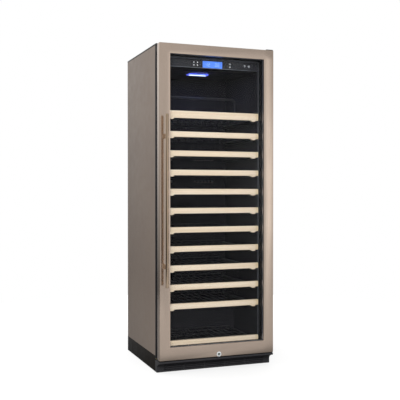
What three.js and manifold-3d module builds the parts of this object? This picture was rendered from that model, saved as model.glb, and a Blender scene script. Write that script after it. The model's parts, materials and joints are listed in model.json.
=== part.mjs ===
// Free-standing wine cooler with a full-height glass door and twelve sliding beech shelves.
// Millimetres, +X to the right, +Y to the back, +Z up. While the parts are laid out, y = 0 is the
// front face of the closed door and z = 0 is the floor; the last lines centre the whole in depth.

import * as THREE from 'three';
import Module from 'manifold-3d';
import { mergeVertices } from 'three/addons/utils/BufferGeometryUtils.js';

const wasm = await Module();
wasm.setup();

// ---- driving dimensions -------------------------------------------------------------------------

const halfWidth = 297.5;
const topHeight = 1578;
const cabinetBack = 583;
const sheet = 1.5;
const gap = 0.3;

const door = { bottom: 65.5, top: 1573, depth: 40, skin: 2, windowHalf: 244.5 };
door.windowBottom = 128;
door.windowTop = 1524.6;

const hingeAxis = { x: 287, y: 22 };
const hingePinRadius = 4;
const hingeHoleRadius = 4.3;

const frontFrame = { front: 54, back: 71.7, openingHalf: 247, bottom: 66, sill: 106, head: 1524 };

const liner = { wall: 2.5, half: 247, front: 72, back: 540, floor: 106, ceiling: 1482 };
liner.stepY = 380;
liner.stepTop = 270;
liner.headBack = 150;
liner.headTop = 1524;

const compartment = { front: 345, floor: 24.5, top: 232 };
const skirt = { bottom: 3, top: 79.3, thickness: 3 };
const panelBottom = 79.6;
const panelTop = 1570.7;

const shelfPitch = 93;
const shelf = { front: 60, fasciaDepth: 18, half: 243, height: 27, rackBack: 490 };
const bottomShelfBack = 372;
const displayShelfHeight = 35;
const shelfBases = [1226.5];
for (let row = 0; row < 10; row += 1) {
  shelfBases.push(1134.5 - row * shelfPitch);
}
shelfBases.push(118.5);

const lug = { inner: 203, outer: 229, drop: 6 };
const rack = { runnerInner: 221, runnerOuter: 231, bottom: 4, top: 12, barWidth: 12 };
const neckBar = { y: 316, z: 128, size: 12, postHalf: 4 };
const ledge = { inner: 226, front: 80, height: 9 };

const handle = { x: -275, y: -48, radius: 7.5, bottom: 419, top: 1232 };
const handlePost = { halfWidth: 6, halfHeight: 11, lower: 515, upper: 1130 };

const lock = { x: 4, z: 78.4, ringRadius: 11.75, sleeveRadius: 9, boreRadius: 7.2, camReach: 22 };

const ductFront = 503;
const fan = { radius: 58, height: 760 };
const condenserFan = { x: -150, y: 424, z: 128, radius: 70 };
const gland = { x: 250, z: 42, radius: 9 };

const hinge = { inner: 262, outer: halfWidth - 0.5, front: 6, thickness: 3, legThickness: 2.5 };
const lowerHinge = { arm: 61.3, pinStart: 62, pinEnd: 80, legStart: 61.3, legEnd: 88 };
const upperHinge = { arm: 1574, pinStart: 1558, pinEnd: 1576, legStart: 1550, legEnd: 1577 };

// ---- solids -------------------------------------------------------------------------------------

function box(x0, x1, y0, y1, z0, z1) {
  const geometry = new THREE.BoxGeometry(x1 - x0, y1 - y0, z1 - z0);
  return geometry.translate((x0 + x1) / 2, (y0 + y1) / 2, (z0 + z1) / 2);
}

// A cylinder whose axis runs from start to end, along y at (x, z) or along z at (x, y).
function rodAlongY(radius, start, end, x, z, sides = 24) {
  const geometry = new THREE.CylinderGeometry(radius, radius, end - start, sides);
  return geometry.translate(x, (start + end) / 2, z);
}

function rodAlongZ(radius, start, end, x, y, sides = 24) {
  const geometry = new THREE.CylinderGeometry(radius, radius, end - start, sides);
  return geometry.rotateX(Math.PI / 2).translate(x, y, (start + end) / 2);
}

function outline(points) {
  return new THREE.Shape(points.map(([x, y]) => new THREE.Vector2(x, y)));
}

// A profile drawn in (y, z) and swept along x from x0 to x1.
function sweepAcross(shape, x0, x1, curveSegments = 8) {
  const options = { depth: x1 - x0, bevelEnabled: false, curveSegments };
  const geometry = new THREE.ExtrudeGeometry(shape, options);
  const turn = new THREE.Matrix4().set(0, 0, 1, x0, 1, 0, 0, 0, 0, 1, 0, 0, 0, 0, 0, 1);
  return geometry.applyMatrix4(turn);
}

// A profile drawn in (x, y) and swept upwards from z0 to z1.
function sweepUp(shape, z0, z1) {
  const geometry = new THREE.ExtrudeGeometry(shape, { depth: z1 - z0, bevelEnabled: false });
  return geometry.translate(0, 0, z0);
}

function lathe(points, sides) {
  const profile = points.map(([radius, height]) => new THREE.Vector2(radius, height));
  return new THREE.LatheGeometry(profile, sides);
}

function toSolid(geometry) {
  const bare = geometry.clone();
  bare.deleteAttribute('normal');
  bare.deleteAttribute('uv');
  const merged = mergeVertices(bare, 1e-4);
  const vertProperties = new Float32Array(merged.attributes.position.array);
  const triVerts = new Uint32Array(merged.index.array);
  return new wasm.Manifold(new wasm.Mesh({ numProp: 3, vertProperties, triVerts }));
}

function toGeometry(solid) {
  const { vertProperties, triVerts } = solid.getMesh();
  const geometry = new THREE.BufferGeometry();
  geometry.setAttribute('position', new THREE.BufferAttribute(vertProperties, 3));
  geometry.setIndex(new THREE.BufferAttribute(triVerts, 1));
  return geometry;
}

function join(...pieces) {
  return toGeometry(pieces.map(toSolid).reduce((whole, piece) => whole.add(piece)));
}

function cut(body, ...tools) {
  return toGeometry(tools.map(toSolid).reduce((left, tool) => left.subtract(tool), toSolid(body)));
}

// A rectangular ring in the door's plane, from y0 to y1.
function ring(outerHalf, innerHalf, y0, y1, bottom, innerBottom, innerTop, top) {
  const outer = box(-outerHalf, outerHalf, y0, y1, bottom, top);
  return cut(outer, box(-innerHalf, innerHalf, y0 - 1, y1 + 1, innerBottom, innerTop));
}

const finishes = {
  taupeSheet: { color: 0x8b7d72, roughness: 0.42, metalness: 0.6 },
  bronzeSteel: { color: 0xb8a390, roughness: 0.3, metalness: 0.9 },
  blackSheet: { color: 0x16161a, roughness: 0.5, metalness: 0.3 },
  blackPlastic: { color: 0x1a1a1e, roughness: 0.45, metalness: 0 },
  darkLiner: { color: 0x2b2a30, roughness: 0.5, metalness: 0 },
  rubber: { color: 0x0e0e10, roughness: 0.8, metalness: 0 },
  beech: { color: 0xe2c79c, roughness: 0.55, metalness: 0 },
  glass: { color: 0xa8b0b4, roughness: 0.05, metalness: 0, transparent: true, opacity: 0.25 },
  display: { color: 0x5e90f6, roughness: 0.2, metalness: 0 },
  lens: { color: 0xdbe8ff, roughness: 0.3, metalness: 0 },
  polished: { color: 0xc9ccd0, roughness: 0.15, metalness: 1 },
  galvanised: { color: 0x9ea2a4, roughness: 0.45, metalness: 0.8 },
  foam: { color: 0xd8c98f, roughness: 0.95, metalness: 0 },
};

const cooler = new THREE.Group();

function add(name, geometry, finish, parent = cooler) {
  const mesh = new THREE.Mesh(geometry, new THREE.MeshStandardMaterial(finishes[finish]));
  mesh.name = name;
  parent.add(mesh);
  return mesh;
}

// ---- cabinet ------------------------------------------------------------------------------------

// A folded sheet: the wall with a return at the front and at the back, swept over its height.
function sidePanel(side) {
  const fold = 12;
  const outer = halfWidth;
  const inner = halfWidth - sheet;
  const lip = inner - fold;
  const plan = [
    [outer, liner.front], [outer, cabinetBack], [lip, cabinetBack], [lip, cabinetBack - sheet],
    [inner, cabinetBack - sheet], [inner, liner.front + sheet], [lip, liner.front + sheet],
    [lip, liner.front],
  ];
  const points = side > 0 ? plan : plan.map(([x, y]) => [-x, y]).reverse();
  return sweepUp(outline(points), panelBottom, panelTop);
}

function topPanel() {
  const tray = box(-halfWidth, halfWidth, frontFrame.front, cabinetBack, panelTop + gap, topHeight);
  const hollow = box(
    -halfWidth + sheet, halfWidth - sheet, frontFrame.front + sheet, cabinetBack - sheet,
    panelTop, topHeight - sheet,
  );
  return cut(tray, hollow);
}

const panelReturn = halfWidth - sheet - 12 - gap;

function backPanel() {
  const y0 = cabinetBack - sheet;
  return box(-panelReturn, panelReturn, y0, cabinetBack, compartment.top - 3, panelTop);
}

// A moulded frame round the cabinet's mouth, flush with the side panels.
function cabinetFrontFrame() {
  const { front, back, openingHalf, bottom, sill, head } = frontFrame;
  return ring(halfWidth, openingHalf, front, back, bottom, sill, head, panelTop);
}

// The inside of the cabinet in (y, z): floor, step over the compressor, back, ceiling, control head.
function linerOutline(grow, front) {
  const { floor, stepY, stepTop, back, ceiling, headBack, headTop } = liner;
  return outline([
    [front, floor - grow], [stepY + grow, floor - grow], [stepY + grow, stepTop - grow],
    [back + grow, stepTop - grow], [back + grow, ceiling + grow], [headBack + grow, ceiling + grow],
    [headBack + grow, headTop + grow], [front, headTop + grow],
  ]);
}

// A ledge on each side wall for every shelf, just below the rack's runner.
function linerLedges() {
  return shelfBases.flatMap((base, index) => {
    const top = base + rack.bottom - gap;
    const back = index === shelfBases.length - 1 ? bottomShelfBack : shelf.rackBack;
    return [-1, 1].map((side) => {
      const x0 = side > 0 ? ledge.inner : -liner.half - 1;
      const x1 = side > 0 ? liner.half + 1 : -ledge.inner;
      return box(x0, x1, ledge.front, back, top - ledge.height, top);
    });
  });
}

function innerLiner() {
  const { wall, half, front } = liner;
  const shell = sweepAcross(linerOutline(wall, front), -half - wall, half + wall);
  const flange = box(-262, 262, front, front + wall, liner.floor - 15, liner.headTop + 15);
  const cavity = sweepAcross(linerOutline(0, front - 1), -half, half);
  return join(cut(join(shell, flange), cavity), ...linerLedges());
}

function insulationFoam() {
  const front = liner.front + liner.wall + gap;
  const back = cabinetBack - sheet - gap;
  const half = halfWidth - sheet - gap;
  const innerHalf = halfWidth - skirt.thickness - gap;
  const block = box(-half, half, front, back, panelBottom + 1.4, topHeight - sheet - gap);
  const underFloor = box(-innerHalf, innerHalf, front, compartment.front, 60, panelBottom + 2);
  const cavityHalf = liner.half + liner.wall + gap;
  const cavity = sweepAcross(linerOutline(liner.wall + gap, front - 1), -cavityHalf, cavityHalf);
  const machineSpace = box(-half - 1, half + 1, compartment.front, back + 1, 50, compartment.top);
  return cut(join(block, underFloor), cavity, machineSpace);
}

// A plate across the back of the cavity with a round fan opening, three arms that carry the fan's
// motor, and rows of air slots.
function ductCover() {
  const thickness = 2.5;
  const back = ductFront + thickness;
  const plate = box(-246.5, 246.5, ductFront, back, liner.stepTop + gap, liner.ceiling - gap);
  const slots = [360, 470, 600, 920, 1040, 1160, 1300, 1400].flatMap((z) => [-1, 1].map(
    (side) => box(side * 130 - 70, side * 130 + 70, ductFront - 1, back + 1, z, z + 9),
  ));
  const opening = rodAlongY(fan.radius + 6, ductFront - 1, back + 1, 0, fan.height, 36);
  const arms = [90, 210, 330].map((angle) => {
    const arm = new THREE.BoxGeometry(fan.radius + 8, thickness, 8);
    arm.translate((fan.radius + 8) / 2, 0, 0).rotateY(THREE.MathUtils.degToRad(angle));
    return arm.translate(0, ductFront + thickness / 2, fan.height);
  });
  const motorMount = rodAlongY(20, ductFront, back, 0, fan.height);
  return join(cut(plate, opening, ...slots), motorMount, ...arms);
}

// Seven pitched blades on a hub, turning about y. The origin is the hub's centre.
function fanRotor(radius, hubRadius, depth) {
  const hub = rodAlongY(hubRadius, -depth / 2, depth / 2, 0, 0);
  const bladeCount = 7;
  const blades = Array.from({ length: bladeCount }, (_, index) => {
    const length = radius - hubRadius + 3;
    const blade = new THREE.BoxGeometry(length, 2, 26);
    blade.rotateX(THREE.MathUtils.degToRad(32));
    blade.translate(hubRadius - 3 + length / 2, 0, 0);
    return blade.rotateY((index * 2 * Math.PI) / bladeCount);
  });
  return join(hub, ...blades);
}

// A finned block: a core with upright fins on its front face.
function finnedBlock(x0, x1, y0, y1, z0, z1, finCount) {
  const coreFront = y0 + (y1 - y0) * 0.55;
  const core = box(x0, x1, coreFront, y1, z0, z1);
  const step = (x1 - x0 - 3) / (finCount - 1);
  const fins = Array.from({ length: finCount }, (_, index) => {
    const x = x0 + index * step;
    return box(x, x + 3, y0, coreFront + 1, z0, z1);
  });
  return join(core, ...fins);
}

// ---- machine compartment ------------------------------------------------------------------------

const feet = [
  ['foot_front_left', -262, 112], ['foot_front_right', 262, 112],
  ['foot_rear_left', -262, 545], ['foot_rear_right', 262, 545],
];
const stemRadius = 5;

function levellingFoot() {
  const pad = lathe([[0, 0], [18, 0], [18, 4], [10, 9], [0, 9]], 20).rotateX(Math.PI / 2);
  return join(pad, rodAlongZ(stemRadius, 8, 40, 0, 0, 12));
}

function basePan() {
  const front = liner.front;
  const inner = halfWidth - skirt.thickness;
  const tray = box(-halfWidth, halfWidth, front, cabinetBack, skirt.bottom, skirt.top);
  const above = box(-inner, inner, front - 1, cabinetBack + 1, compartment.floor, skirt.top + 1);
  const below = box(-inner, inner, front - 1, cabinetBack + 1, skirt.bottom - 1, 22);
  const holes = feet.map(([, x, y]) => rodAlongZ(stemRadius + 0.5, 15, 30, x, y, 12));
  return cut(tray, above, below, ...holes);
}

function compressor() {
  const shell = lathe(
    [[0, 0], [52, 0], [68, 14], [74, 40], [74, 96], [66, 126], [44, 148], [0, 158]], 28,
  ).rotateX(Math.PI / 2);
  shell.translate(150, 465, 34);
  const base = box(75, 225, 385, 545, compartment.floor + gap, 30);
  const pads = [[90, 400], [210, 400], [90, 530], [210, 530]].map(
    ([x, y]) => rodAlongZ(9, 29, 38, x, y, 12),
  );
  const pedestal = rodAlongZ(50, 29, 36, 150, 465);
  const terminalBox = box(62, 92, 440, 490, 75, 125);
  const suction = rodAlongZ(5, 150, 205, 175, 450, 12);
  const discharge = rodAlongZ(4, 150, 195, 128, 480, 12);
  return join(shell, pedestal, base, terminalBox, suction, discharge, ...pads);
}

function condenser() {
  const { x, z, radius } = condenserFan;
  const coil = finnedBlock(x - 90, x + 90, 452, 520, 32, 222, 10);
  const foot = box(x - 90, x + 90, 444, 520, compartment.floor + gap, 34);
  const shroudPlate = box(x - 90, x + 90, 444, 453, 32, 222);
  const opening = rodAlongY(radius + 5, 440, 453.5, x, z, 24);
  const collar = cut(
    rodAlongY(radius + 8, 408, 446, x, z, 24),
    rodAlongY(radius + 4, 400, 460, x, z, 24),
  );
  const spokes = [box(x - 80, x + 80, 444, 448, z - 4, z + 4), rodAlongY(18, 441, 448, x, z)];
  return join(coil, foot, cut(shroudPlate, opening), collar, ...spokes);
}

function rearGrille() {
  const y0 = cabinetBack - sheet;
  const plate = box(-panelReturn, panelReturn, y0, cabinetBack, 25, compartment.top - 3 - gap);
  const slots = [];
  for (let z = 70; z < 200; z += 24) {
    for (let x = -231; x < 230; x += 154) {
      slots.push(box(x + 8, x + 146, y0 - 1, cabinetBack + 1, z, z + 8));
    }
  }
  const glandHole = rodAlongY(gland.radius + gap, y0 - 1, cabinetBack + 1, gland.x, gland.z);
  return cut(plate, glandHole, ...slots);
}

// A grommet through the rear grille, bored for the mains lead.
function cordGland() {
  const neck = gland.radius;
  const rim = neck + 3;
  const inside = cabinetBack - sheet - gap;
  const outside = cabinetBack + gap;
  const body = lathe([
    [4, inside - 6], [rim, inside - 6], [rim, inside], [neck, inside],
    [neck, outside], [rim, outside], [rim, outside + 2.2], [4, outside + 3.2],
    [4, inside - 6],
  ], 24);
  return body.translate(gland.x, 0, gland.z);
}

// The plinth: a lip under the door, a cove and an upright kick face, thin between two solid ends,
// with louvres cut through the thin part and a slot in the top for the lock's cam.
function plinthOutline(inset, bottom, back) {
  const shape = new THREE.Shape();
  shape.moveTo(back, bottom);
  shape.lineTo(45 + inset, bottom);
  shape.lineTo(45 + inset, 28 - inset * 0.5);
  shape.quadraticCurveTo(40, 44, 2 + inset, 52 - inset * 0.5);
  shape.lineTo(2 + inset, 61 - inset);
  shape.lineTo(back, 61 - inset);
  return shape;
}

function plinthGrille() {
  const endBlock = 28;
  const clearHalf = halfWidth - endBlock;
  const body = sweepAcross(plinthOutline(0, skirt.bottom, frontFrame.back), -halfWidth, halfWidth);
  const hollow = sweepAcross(plinthOutline(3, skirt.bottom - 1, frontFrame.back + 1), -clearHalf, clearHalf);
  const camSlot = box(lock.x - 8, lock.x + 17, 40, 47, 50, 62);
  const louvres = [];
  for (const z of [11, 20, 29, 38]) {
    for (let column = 0; column < 5; column += 1) {
      const x = -clearHalf + 6 + column * 106;
      louvres.push(box(x, x + 99, -5, 56, z, z + 4.5));
    }
  }
  return cut(body, hollow, camSlot, ...louvres);
}

// ---- controls and lamp --------------------------------------------------------------------------

const lamp = { half: 54, front: 268, back: 313, depth: 6.5 };
const panel = { half: 244.5, front: 75, back: 146, bottom: 1475.5, top: 1522 };
const display = { half: 52, bottom: 1479, top: 1512 };

function controlHousing() {
  const { half, front, back, bottom, top } = panel;
  const hollow = box(-half + 2.5, half - 2.5, front + 3, back - 2.5, bottom + 2.5, top + 1);
  const window = box(
    -display.half - gap, display.half + gap, front - 1, front + 4,
    display.bottom - gap, display.top + gap,
  );
  return cut(box(-half, half, front, back, bottom, top), hollow, window);
}

function displayLens() {
  return box(
    -display.half, display.half, panel.front - 0.4, panel.front + 12, display.bottom, display.top,
  );
}

function lampLens() {
  const { half, front, back, depth } = lamp;
  const top = liner.ceiling - gap;
  const bottom = top - depth;
  const profile = outline([[front, top], [back, top], [back, top - 3], [back - 5, bottom],
    [front + 5, bottom], [front, top - 3]]);
  return sweepAcross(profile, -half, half);
}

// ---- door ---------------------------------------------------------------------------------------

const outerPane = { half: 266, front: 2.3, back: 6.3, bottom: 106, top: 1546 };
const innerPane = { half: 260, front: 20.6, back: 24.6, bottom: 112, top: 1540 };

function hingeHoles() {
  const { x, y } = hingeAxis;
  return [
    rodAlongZ(hingeHoleRadius, door.bottom - 5, 84, x, y),
    rodAlongZ(hingeHoleRadius, 1554, door.top + 5, x, y),
  ];
}

function doorWindow() {
  const { windowHalf, windowBottom, windowTop, depth } = door;
  return box(-windowHalf, windowHalf, -5, depth + 5, windowBottom, windowTop);
}

function doorFrame() {
  const { bottom, top, depth, skin } = door;
  const half = halfWidth - skin;
  const lockHole = rodAlongY(lock.sleeveRadius + gap, -5, depth, lock.x, lock.z);
  return cut(
    box(-halfWidth, halfWidth, 0, depth, bottom, top),
    box(-half, half, skin, depth + 5, bottom + skin, top - skin),
    doorWindow(), lockHole, ...hingeHoles(),
  );
}

function paneGroove(pane, opening) {
  return box(
    -pane.half - gap, pane.half + gap, opening, pane.back + gap, pane.bottom - gap, pane.top + gap,
  );
}

function doorInnerFrame() {
  const inset = door.skin + gap;
  const half = halfWidth - inset;
  const body = box(-half, half, inset, door.depth, door.bottom + inset, door.top - inset);
  const outerSeat = paneGroove(outerPane, 0);
  const innerSeat = paneGroove(innerPane, innerPane.front - gap);
  const lockHole = rodAlongY(lock.sleeveRadius + gap, 0, door.depth + 5, lock.x, lock.z);
  return cut(body, doorWindow(), outerSeat, innerSeat, lockHole, ...hingeHoles());
}

function glassPane({ half, front, back, bottom, top }) {
  return box(-half, half, front, back, bottom, top);
}

function doorGasket() {
  return ring(284, 265, door.depth + gap, frontFrame.front - gap, 92, 111, 1528, 1545);
}

function handleBar() {
  const { x, y, radius, bottom, top } = handle;
  const length = top - bottom;
  const profile = [[0, 0], [radius - 1, 0], [radius, 1], [radius, length - 1],
    [radius - 1, length], [0, length]];
  return lathe(profile, 28).rotateX(Math.PI / 2).translate(x, y, bottom);
}

function handlePostAt(z) {
  const { halfWidth: half, halfHeight } = handlePost;
  const { x, y, radius } = handle;
  return box(x - half, x + half, y + radius + gap, -gap, z - halfHeight, z + halfHeight);
}

function lockHousing() {
  const { boreRadius, sleeveRadius, ringRadius } = lock;
  const profile = [
    [boreRadius, -3.5], [ringRadius - 1, -3.5], [ringRadius, -2.5], [ringRadius, -gap],
    [sleeveRadius, -gap], [sleeveRadius, 40.5], [boreRadius, 40.5], [boreRadius, -3.5],
  ];
  return lathe(profile, 28).translate(lock.x, 0, lock.z);
}

// The barrel turns about y; its cam points to the right when unlocked.
function lockBarrel() {
  const core = rodAlongY(lock.boreRadius - gap, -3, 44.5, 0, 0);
  const keyhole = box(-0.9, 0.9, -5, 4, -3.8, 3.8);
  const cam = box(0, lock.camReach, 41.5, 44.5, -5.5, 5.5);
  return join(cut(core, keyhole), cam).translate(lock.x, 0, lock.z);
}

// A flat arm under or over the door with an upright leg on the cabinet's front frame and a pin
// that enters the door.
function hingeBracket({ arm, pinStart, pinEnd, legStart, legEnd }) {
  const { inner, outer, front, thickness, legThickness } = hinge;
  const back = frontFrame.front - gap;
  const flat = box(inner, outer, front, back, arm, arm + thickness);
  const leg = box(inner, outer, back - legThickness, back, legStart, legEnd);
  const pin = rodAlongZ(hingePinRadius, pinStart, pinEnd, hingeAxis.x, hingeAxis.y);
  return join(flat, leg, pin);
}

// ---- shelves ------------------------------------------------------------------------------------

// A beech board with a chamfered lug under each end, in (x, z), swept back from its front face.
function shelfFascia(height) {
  const { half, front, fasciaDepth } = shelf;
  const { inner, outer, drop } = lug;
  const right = [
    [inner, 0], [inner + drop, -drop], [outer - drop, -drop], [outer, 0], [half, 0], [half, height],
  ];
  const left = right.map(([x, z]) => [-x, z]).reverse();
  const options = { depth: fasciaDepth, bevelEnabled: false };
  const board = new THREE.ExtrudeGeometry(outline([...right, ...left]), options);
  return board.rotateX(Math.PI / 2).translate(0, front + fasciaDepth, 0);
}

// A flat steel rack: one plate, cut through between its side runners and its cross bars.
function shelfRack(back, barCount) {
  const { runnerInner, runnerOuter, bottom, top, barWidth } = rack;
  const front = shelf.front + shelf.fasciaDepth + gap;
  const step = (back - barWidth - front) / (barCount - 1);
  const spaces = Array.from({ length: barCount - 1 }, (_, index) => {
    const y = front + barWidth + index * step;
    return box(-runnerInner, runnerInner, y, y + step - barWidth, bottom - 1, top + 1);
  });
  return cut(box(-runnerOuter, runnerOuter, front, back, bottom, top), ...spaces);
}

// The display shelf also has a raised bar on two posts, so that its bottles lie with necks up.
function displayRack() {
  const { y, z, size, postHalf } = neckBar;
  const reach = rack.runnerOuter - 1;
  const posts = [-1, 1].map((side) => {
    const x = side * (reach - postHalf);
    return box(x - postHalf, x + postHalf, y, y + size, rack.top - 4, z + 4);
  });
  const neckRest = box(-reach, reach, y, y + size, z, z + size);
  return join(shelfRack(shelf.rackBack, 5), neckRest, ...posts);
}

function addShelves() {
  shelfBases.forEach((base, index) => {
    const number = String(index + 1).padStart(2, '0');
    const isDisplay = index === 0;
    const isBottom = index === shelfBases.length - 1;
    const tray = new THREE.Group();
    tray.position.z = base;
    cooler.add(tray);
    const height = isDisplay ? displayShelfHeight : shelf.height;
    add(`shelf_fascia_${number}`, shelfFascia(height), 'beech', tray);
    const plainRack = isBottom ? shelfRack(bottomShelfBack, 4) : shelfRack(shelf.rackBack, 5);
    add(`shelf_rack_${number}`, isDisplay ? displayRack() : plainRack, 'blackSheet', tray);
  });
}

// ---- assembly -----------------------------------------------------------------------------------

function addCabinet() {
  add('side_panel_left', sidePanel(-1), 'taupeSheet');
  add('side_panel_right', sidePanel(1), 'taupeSheet');
  add('top_panel', topPanel(), 'blackSheet');
  add('back_panel', backPanel(), 'galvanised');
  add('front_frame', cabinetFrontFrame(), 'blackPlastic');
  add('inner_liner', innerLiner(), 'darkLiner');
  add('insulation_foam', insulationFoam(), 'foam');
  add('duct_cover', ductCover(), 'darkLiner');
  add('evaporator', finnedBlock(-190, 190, 509, 537, 880, 1240, 14), 'galvanised');
  add('control_housing', controlHousing(), 'blackPlastic');
  add('display_lens', displayLens(), 'display');
  add('lamp_lens', lampLens(), 'lens');
}

function addBase() {
  add('base_pan', basePan(), 'blackSheet');
  add('plinth_grille', plinthGrille(), 'blackPlastic');
  add('compressor', compressor(), 'blackSheet');
  add('condenser', condenser(), 'blackSheet');
  add('rear_grille', rearGrille(), 'blackSheet');
  add('cord_gland', cordGland(), 'rubber');
  for (const [name, x, y] of feet) {
    add(name, levellingFoot(), 'rubber').position.set(x, y, 0);
  }
}

function addFans() {
  const circulation = add('circulation_fan', fanRotor(fan.radius, 17, 18), 'blackPlastic');
  circulation.position.set(0, 518, fan.height);
  const exhaust = add('condenser_fan', fanRotor(condenserFan.radius, 20, 22), 'blackPlastic');
  exhaust.position.set(condenserFan.x, condenserFan.y, condenserFan.z);
}

function addDoor() {
  add('door_frame', doorFrame(), 'bronzeSteel');
  add('door_inner_frame', doorInnerFrame(), 'blackPlastic');
  add('outer_glass', glassPane(outerPane), 'glass');
  add('inner_glass', glassPane(innerPane), 'glass');
  add('door_gasket', doorGasket(), 'rubber');
  add('handle_bar', handleBar(), 'bronzeSteel');
  add('handle_post_lower', handlePostAt(handlePost.lower), 'bronzeSteel');
  add('handle_post_upper', handlePostAt(handlePost.upper), 'bronzeSteel');
  add('lock_housing', lockHousing(), 'polished');
  add('lock_barrel', lockBarrel(), 'polished');
  add('hinge_bracket_lower', hingeBracket(lowerHinge), 'blackSheet');
  add('hinge_bracket_upper', hingeBracket(upperHinge), 'blackSheet');
}

addCabinet();
addBase();
addFans();
addDoor();
addShelves();

// Centre the whole in depth over the origin.
const bounds = new THREE.Box3().setFromObject(cooler);
cooler.position.y = -(bounds.min.y + bounds.max.y) / 2;

export default cooler;
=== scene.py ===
"""The looks of a wine cooler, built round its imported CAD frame.

Lengths are in millimetres: x from the middle to the right, y from the front face of the closed door
to the back, z up from the floor. Shape.make() turns them into metres in the CAD frame.
"""

import json
import math

import bmesh
import bpy
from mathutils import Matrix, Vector

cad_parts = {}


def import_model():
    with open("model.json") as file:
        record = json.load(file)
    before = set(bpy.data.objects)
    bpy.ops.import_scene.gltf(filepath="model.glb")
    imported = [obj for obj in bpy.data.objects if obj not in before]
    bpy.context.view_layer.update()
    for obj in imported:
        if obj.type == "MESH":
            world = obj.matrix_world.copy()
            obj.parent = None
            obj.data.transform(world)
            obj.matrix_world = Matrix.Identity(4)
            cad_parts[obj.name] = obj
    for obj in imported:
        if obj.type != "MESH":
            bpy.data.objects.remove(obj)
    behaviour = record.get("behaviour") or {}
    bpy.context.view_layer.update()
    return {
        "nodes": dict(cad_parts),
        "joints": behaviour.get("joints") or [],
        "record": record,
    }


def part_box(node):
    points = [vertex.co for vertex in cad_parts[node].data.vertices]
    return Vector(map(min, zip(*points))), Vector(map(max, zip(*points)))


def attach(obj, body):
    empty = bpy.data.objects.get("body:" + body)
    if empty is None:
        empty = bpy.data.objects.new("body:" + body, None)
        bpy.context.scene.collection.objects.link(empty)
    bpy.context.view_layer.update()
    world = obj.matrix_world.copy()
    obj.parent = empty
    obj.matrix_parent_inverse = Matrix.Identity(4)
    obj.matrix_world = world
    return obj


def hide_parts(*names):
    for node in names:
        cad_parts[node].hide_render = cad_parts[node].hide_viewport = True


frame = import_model()

MM = 0.001
FRONT_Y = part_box("door_frame")[0].y
AXES = {"x": (1, 2, 0), "y": (0, 2, 1), "z": (0, 1, 2)}


def span(node):
    """The box of a CAD node, ((x0, x1), (y0, y1), (z0, z1))."""
    return to_spans(*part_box(node))


def opening(name):
    """The box of one of the record's stated openings, as span() gives it."""
    for entry in frame["record"]["physics"]["openings"]:
        if entry["name"] == name:
            return to_spans(*entry["box_m"])
    raise ValueError(f"the record has no opening {name}")


def to_spans(low, high):
    shifts = (0, FRONT_Y, 0)
    return tuple(((low[i] - s) / MM, (high[i] - s) / MM) for i, s in enumerate(shifts))


def joint_place(name):
    """A point on a joint's axis."""
    for joint in frame["joints"]:
        if joint["name"] == name:
            x, y, z = joint["pos_m"]
            return x / MM, (y - FRONT_Y) / MM, z / MM
    raise ValueError(f"there is no joint {name}")


def middle(pair):
    return sum(pair) / 2


def grown(pair, by):
    """A span widened at both ends, or narrowed where by is negative."""
    return pair[0] - by, pair[1] + by


def mirrored(side, *ends):
    """A span on the right of the middle, put on either side of it."""
    return sorted(side * end for end in ends)


# ---- shared places -------------------------------------------------------------------------------

DOOR_X, DOOR_Y, DOOR_Z = span("door_frame")
_, CABINET_Y, CABINET_Z = span("top_panel")
LINER_X, LINER_Y, LINER_Z = span("inner_liner")
CLEARANCE = 0.3
WINDOW_X = grown(opening("door_window_recess")[0], CLEARANCE)
WINDOW_Z = grown(opening("door_window_recess")[2], CLEARANCE)
SHELVES = [f"{number:02d}" for number in range(1, 13)]
LUG_DROP = 6
RUNNER_BOTTOM, RUNNER_TOP = 4, 12


def shelf_base(number):
    """The height of the underside of a shelf's board, above its lugs."""
    return span(f"shelf_fascia_{number}")[2][0] + LUG_DROP


# ---- mesh making ---------------------------------------------------------------------------------


def on_axis(axis, a, b, along):
    """A point from two coordinates across an axis and one along it."""
    first, second, third = AXES[axis]
    spot = [0.0, 0.0, 0.0]
    spot[first], spot[second], spot[third] = a, b, along
    return spot


def arc(centre, radius, start, end, steps):
    """Points on an arc, from one angle to another in degrees."""
    points = []
    for step in range(steps + 1):
        angle = math.radians(start + (end - start) * step / steps)
        points.append((centre[0] + radius * math.cos(angle), centre[1] + radius * math.sin(angle)))
    return points


def fillet(points, radius, steps=4, closed=True):
    """The outline with each corner rounded to the radius."""
    rounded = []
    count = len(points)
    for index, corner in enumerate(points):
        if not closed and index in (0, count - 1):
            rounded.append(corner)
            continue
        here = Vector(corner)
        before = Vector(points[index - 1]) - here
        after = Vector(points[(index + 1) % count]) - here
        half = before.angle(after) / 2
        reach = min(radius / math.tan(half), before.length * 0.49, after.length * 0.49)
        start = here + before.normalized() * reach
        end = here + after.normalized() * reach
        for step in range(steps + 1):
            t = step / steps
            bend = start * (1 - t) ** 2 + here * 2 * t * (1 - t) + end * t**2
            rounded.append(tuple(bend))
    return rounded


def rounded(x, y, radius, steps=4):
    """The outline of a rectangle with rounded corners."""
    return fillet([(x[0], y[0]), (x[1], y[0]), (x[1], y[1]), (x[0], y[1])], radius, steps)


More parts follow.
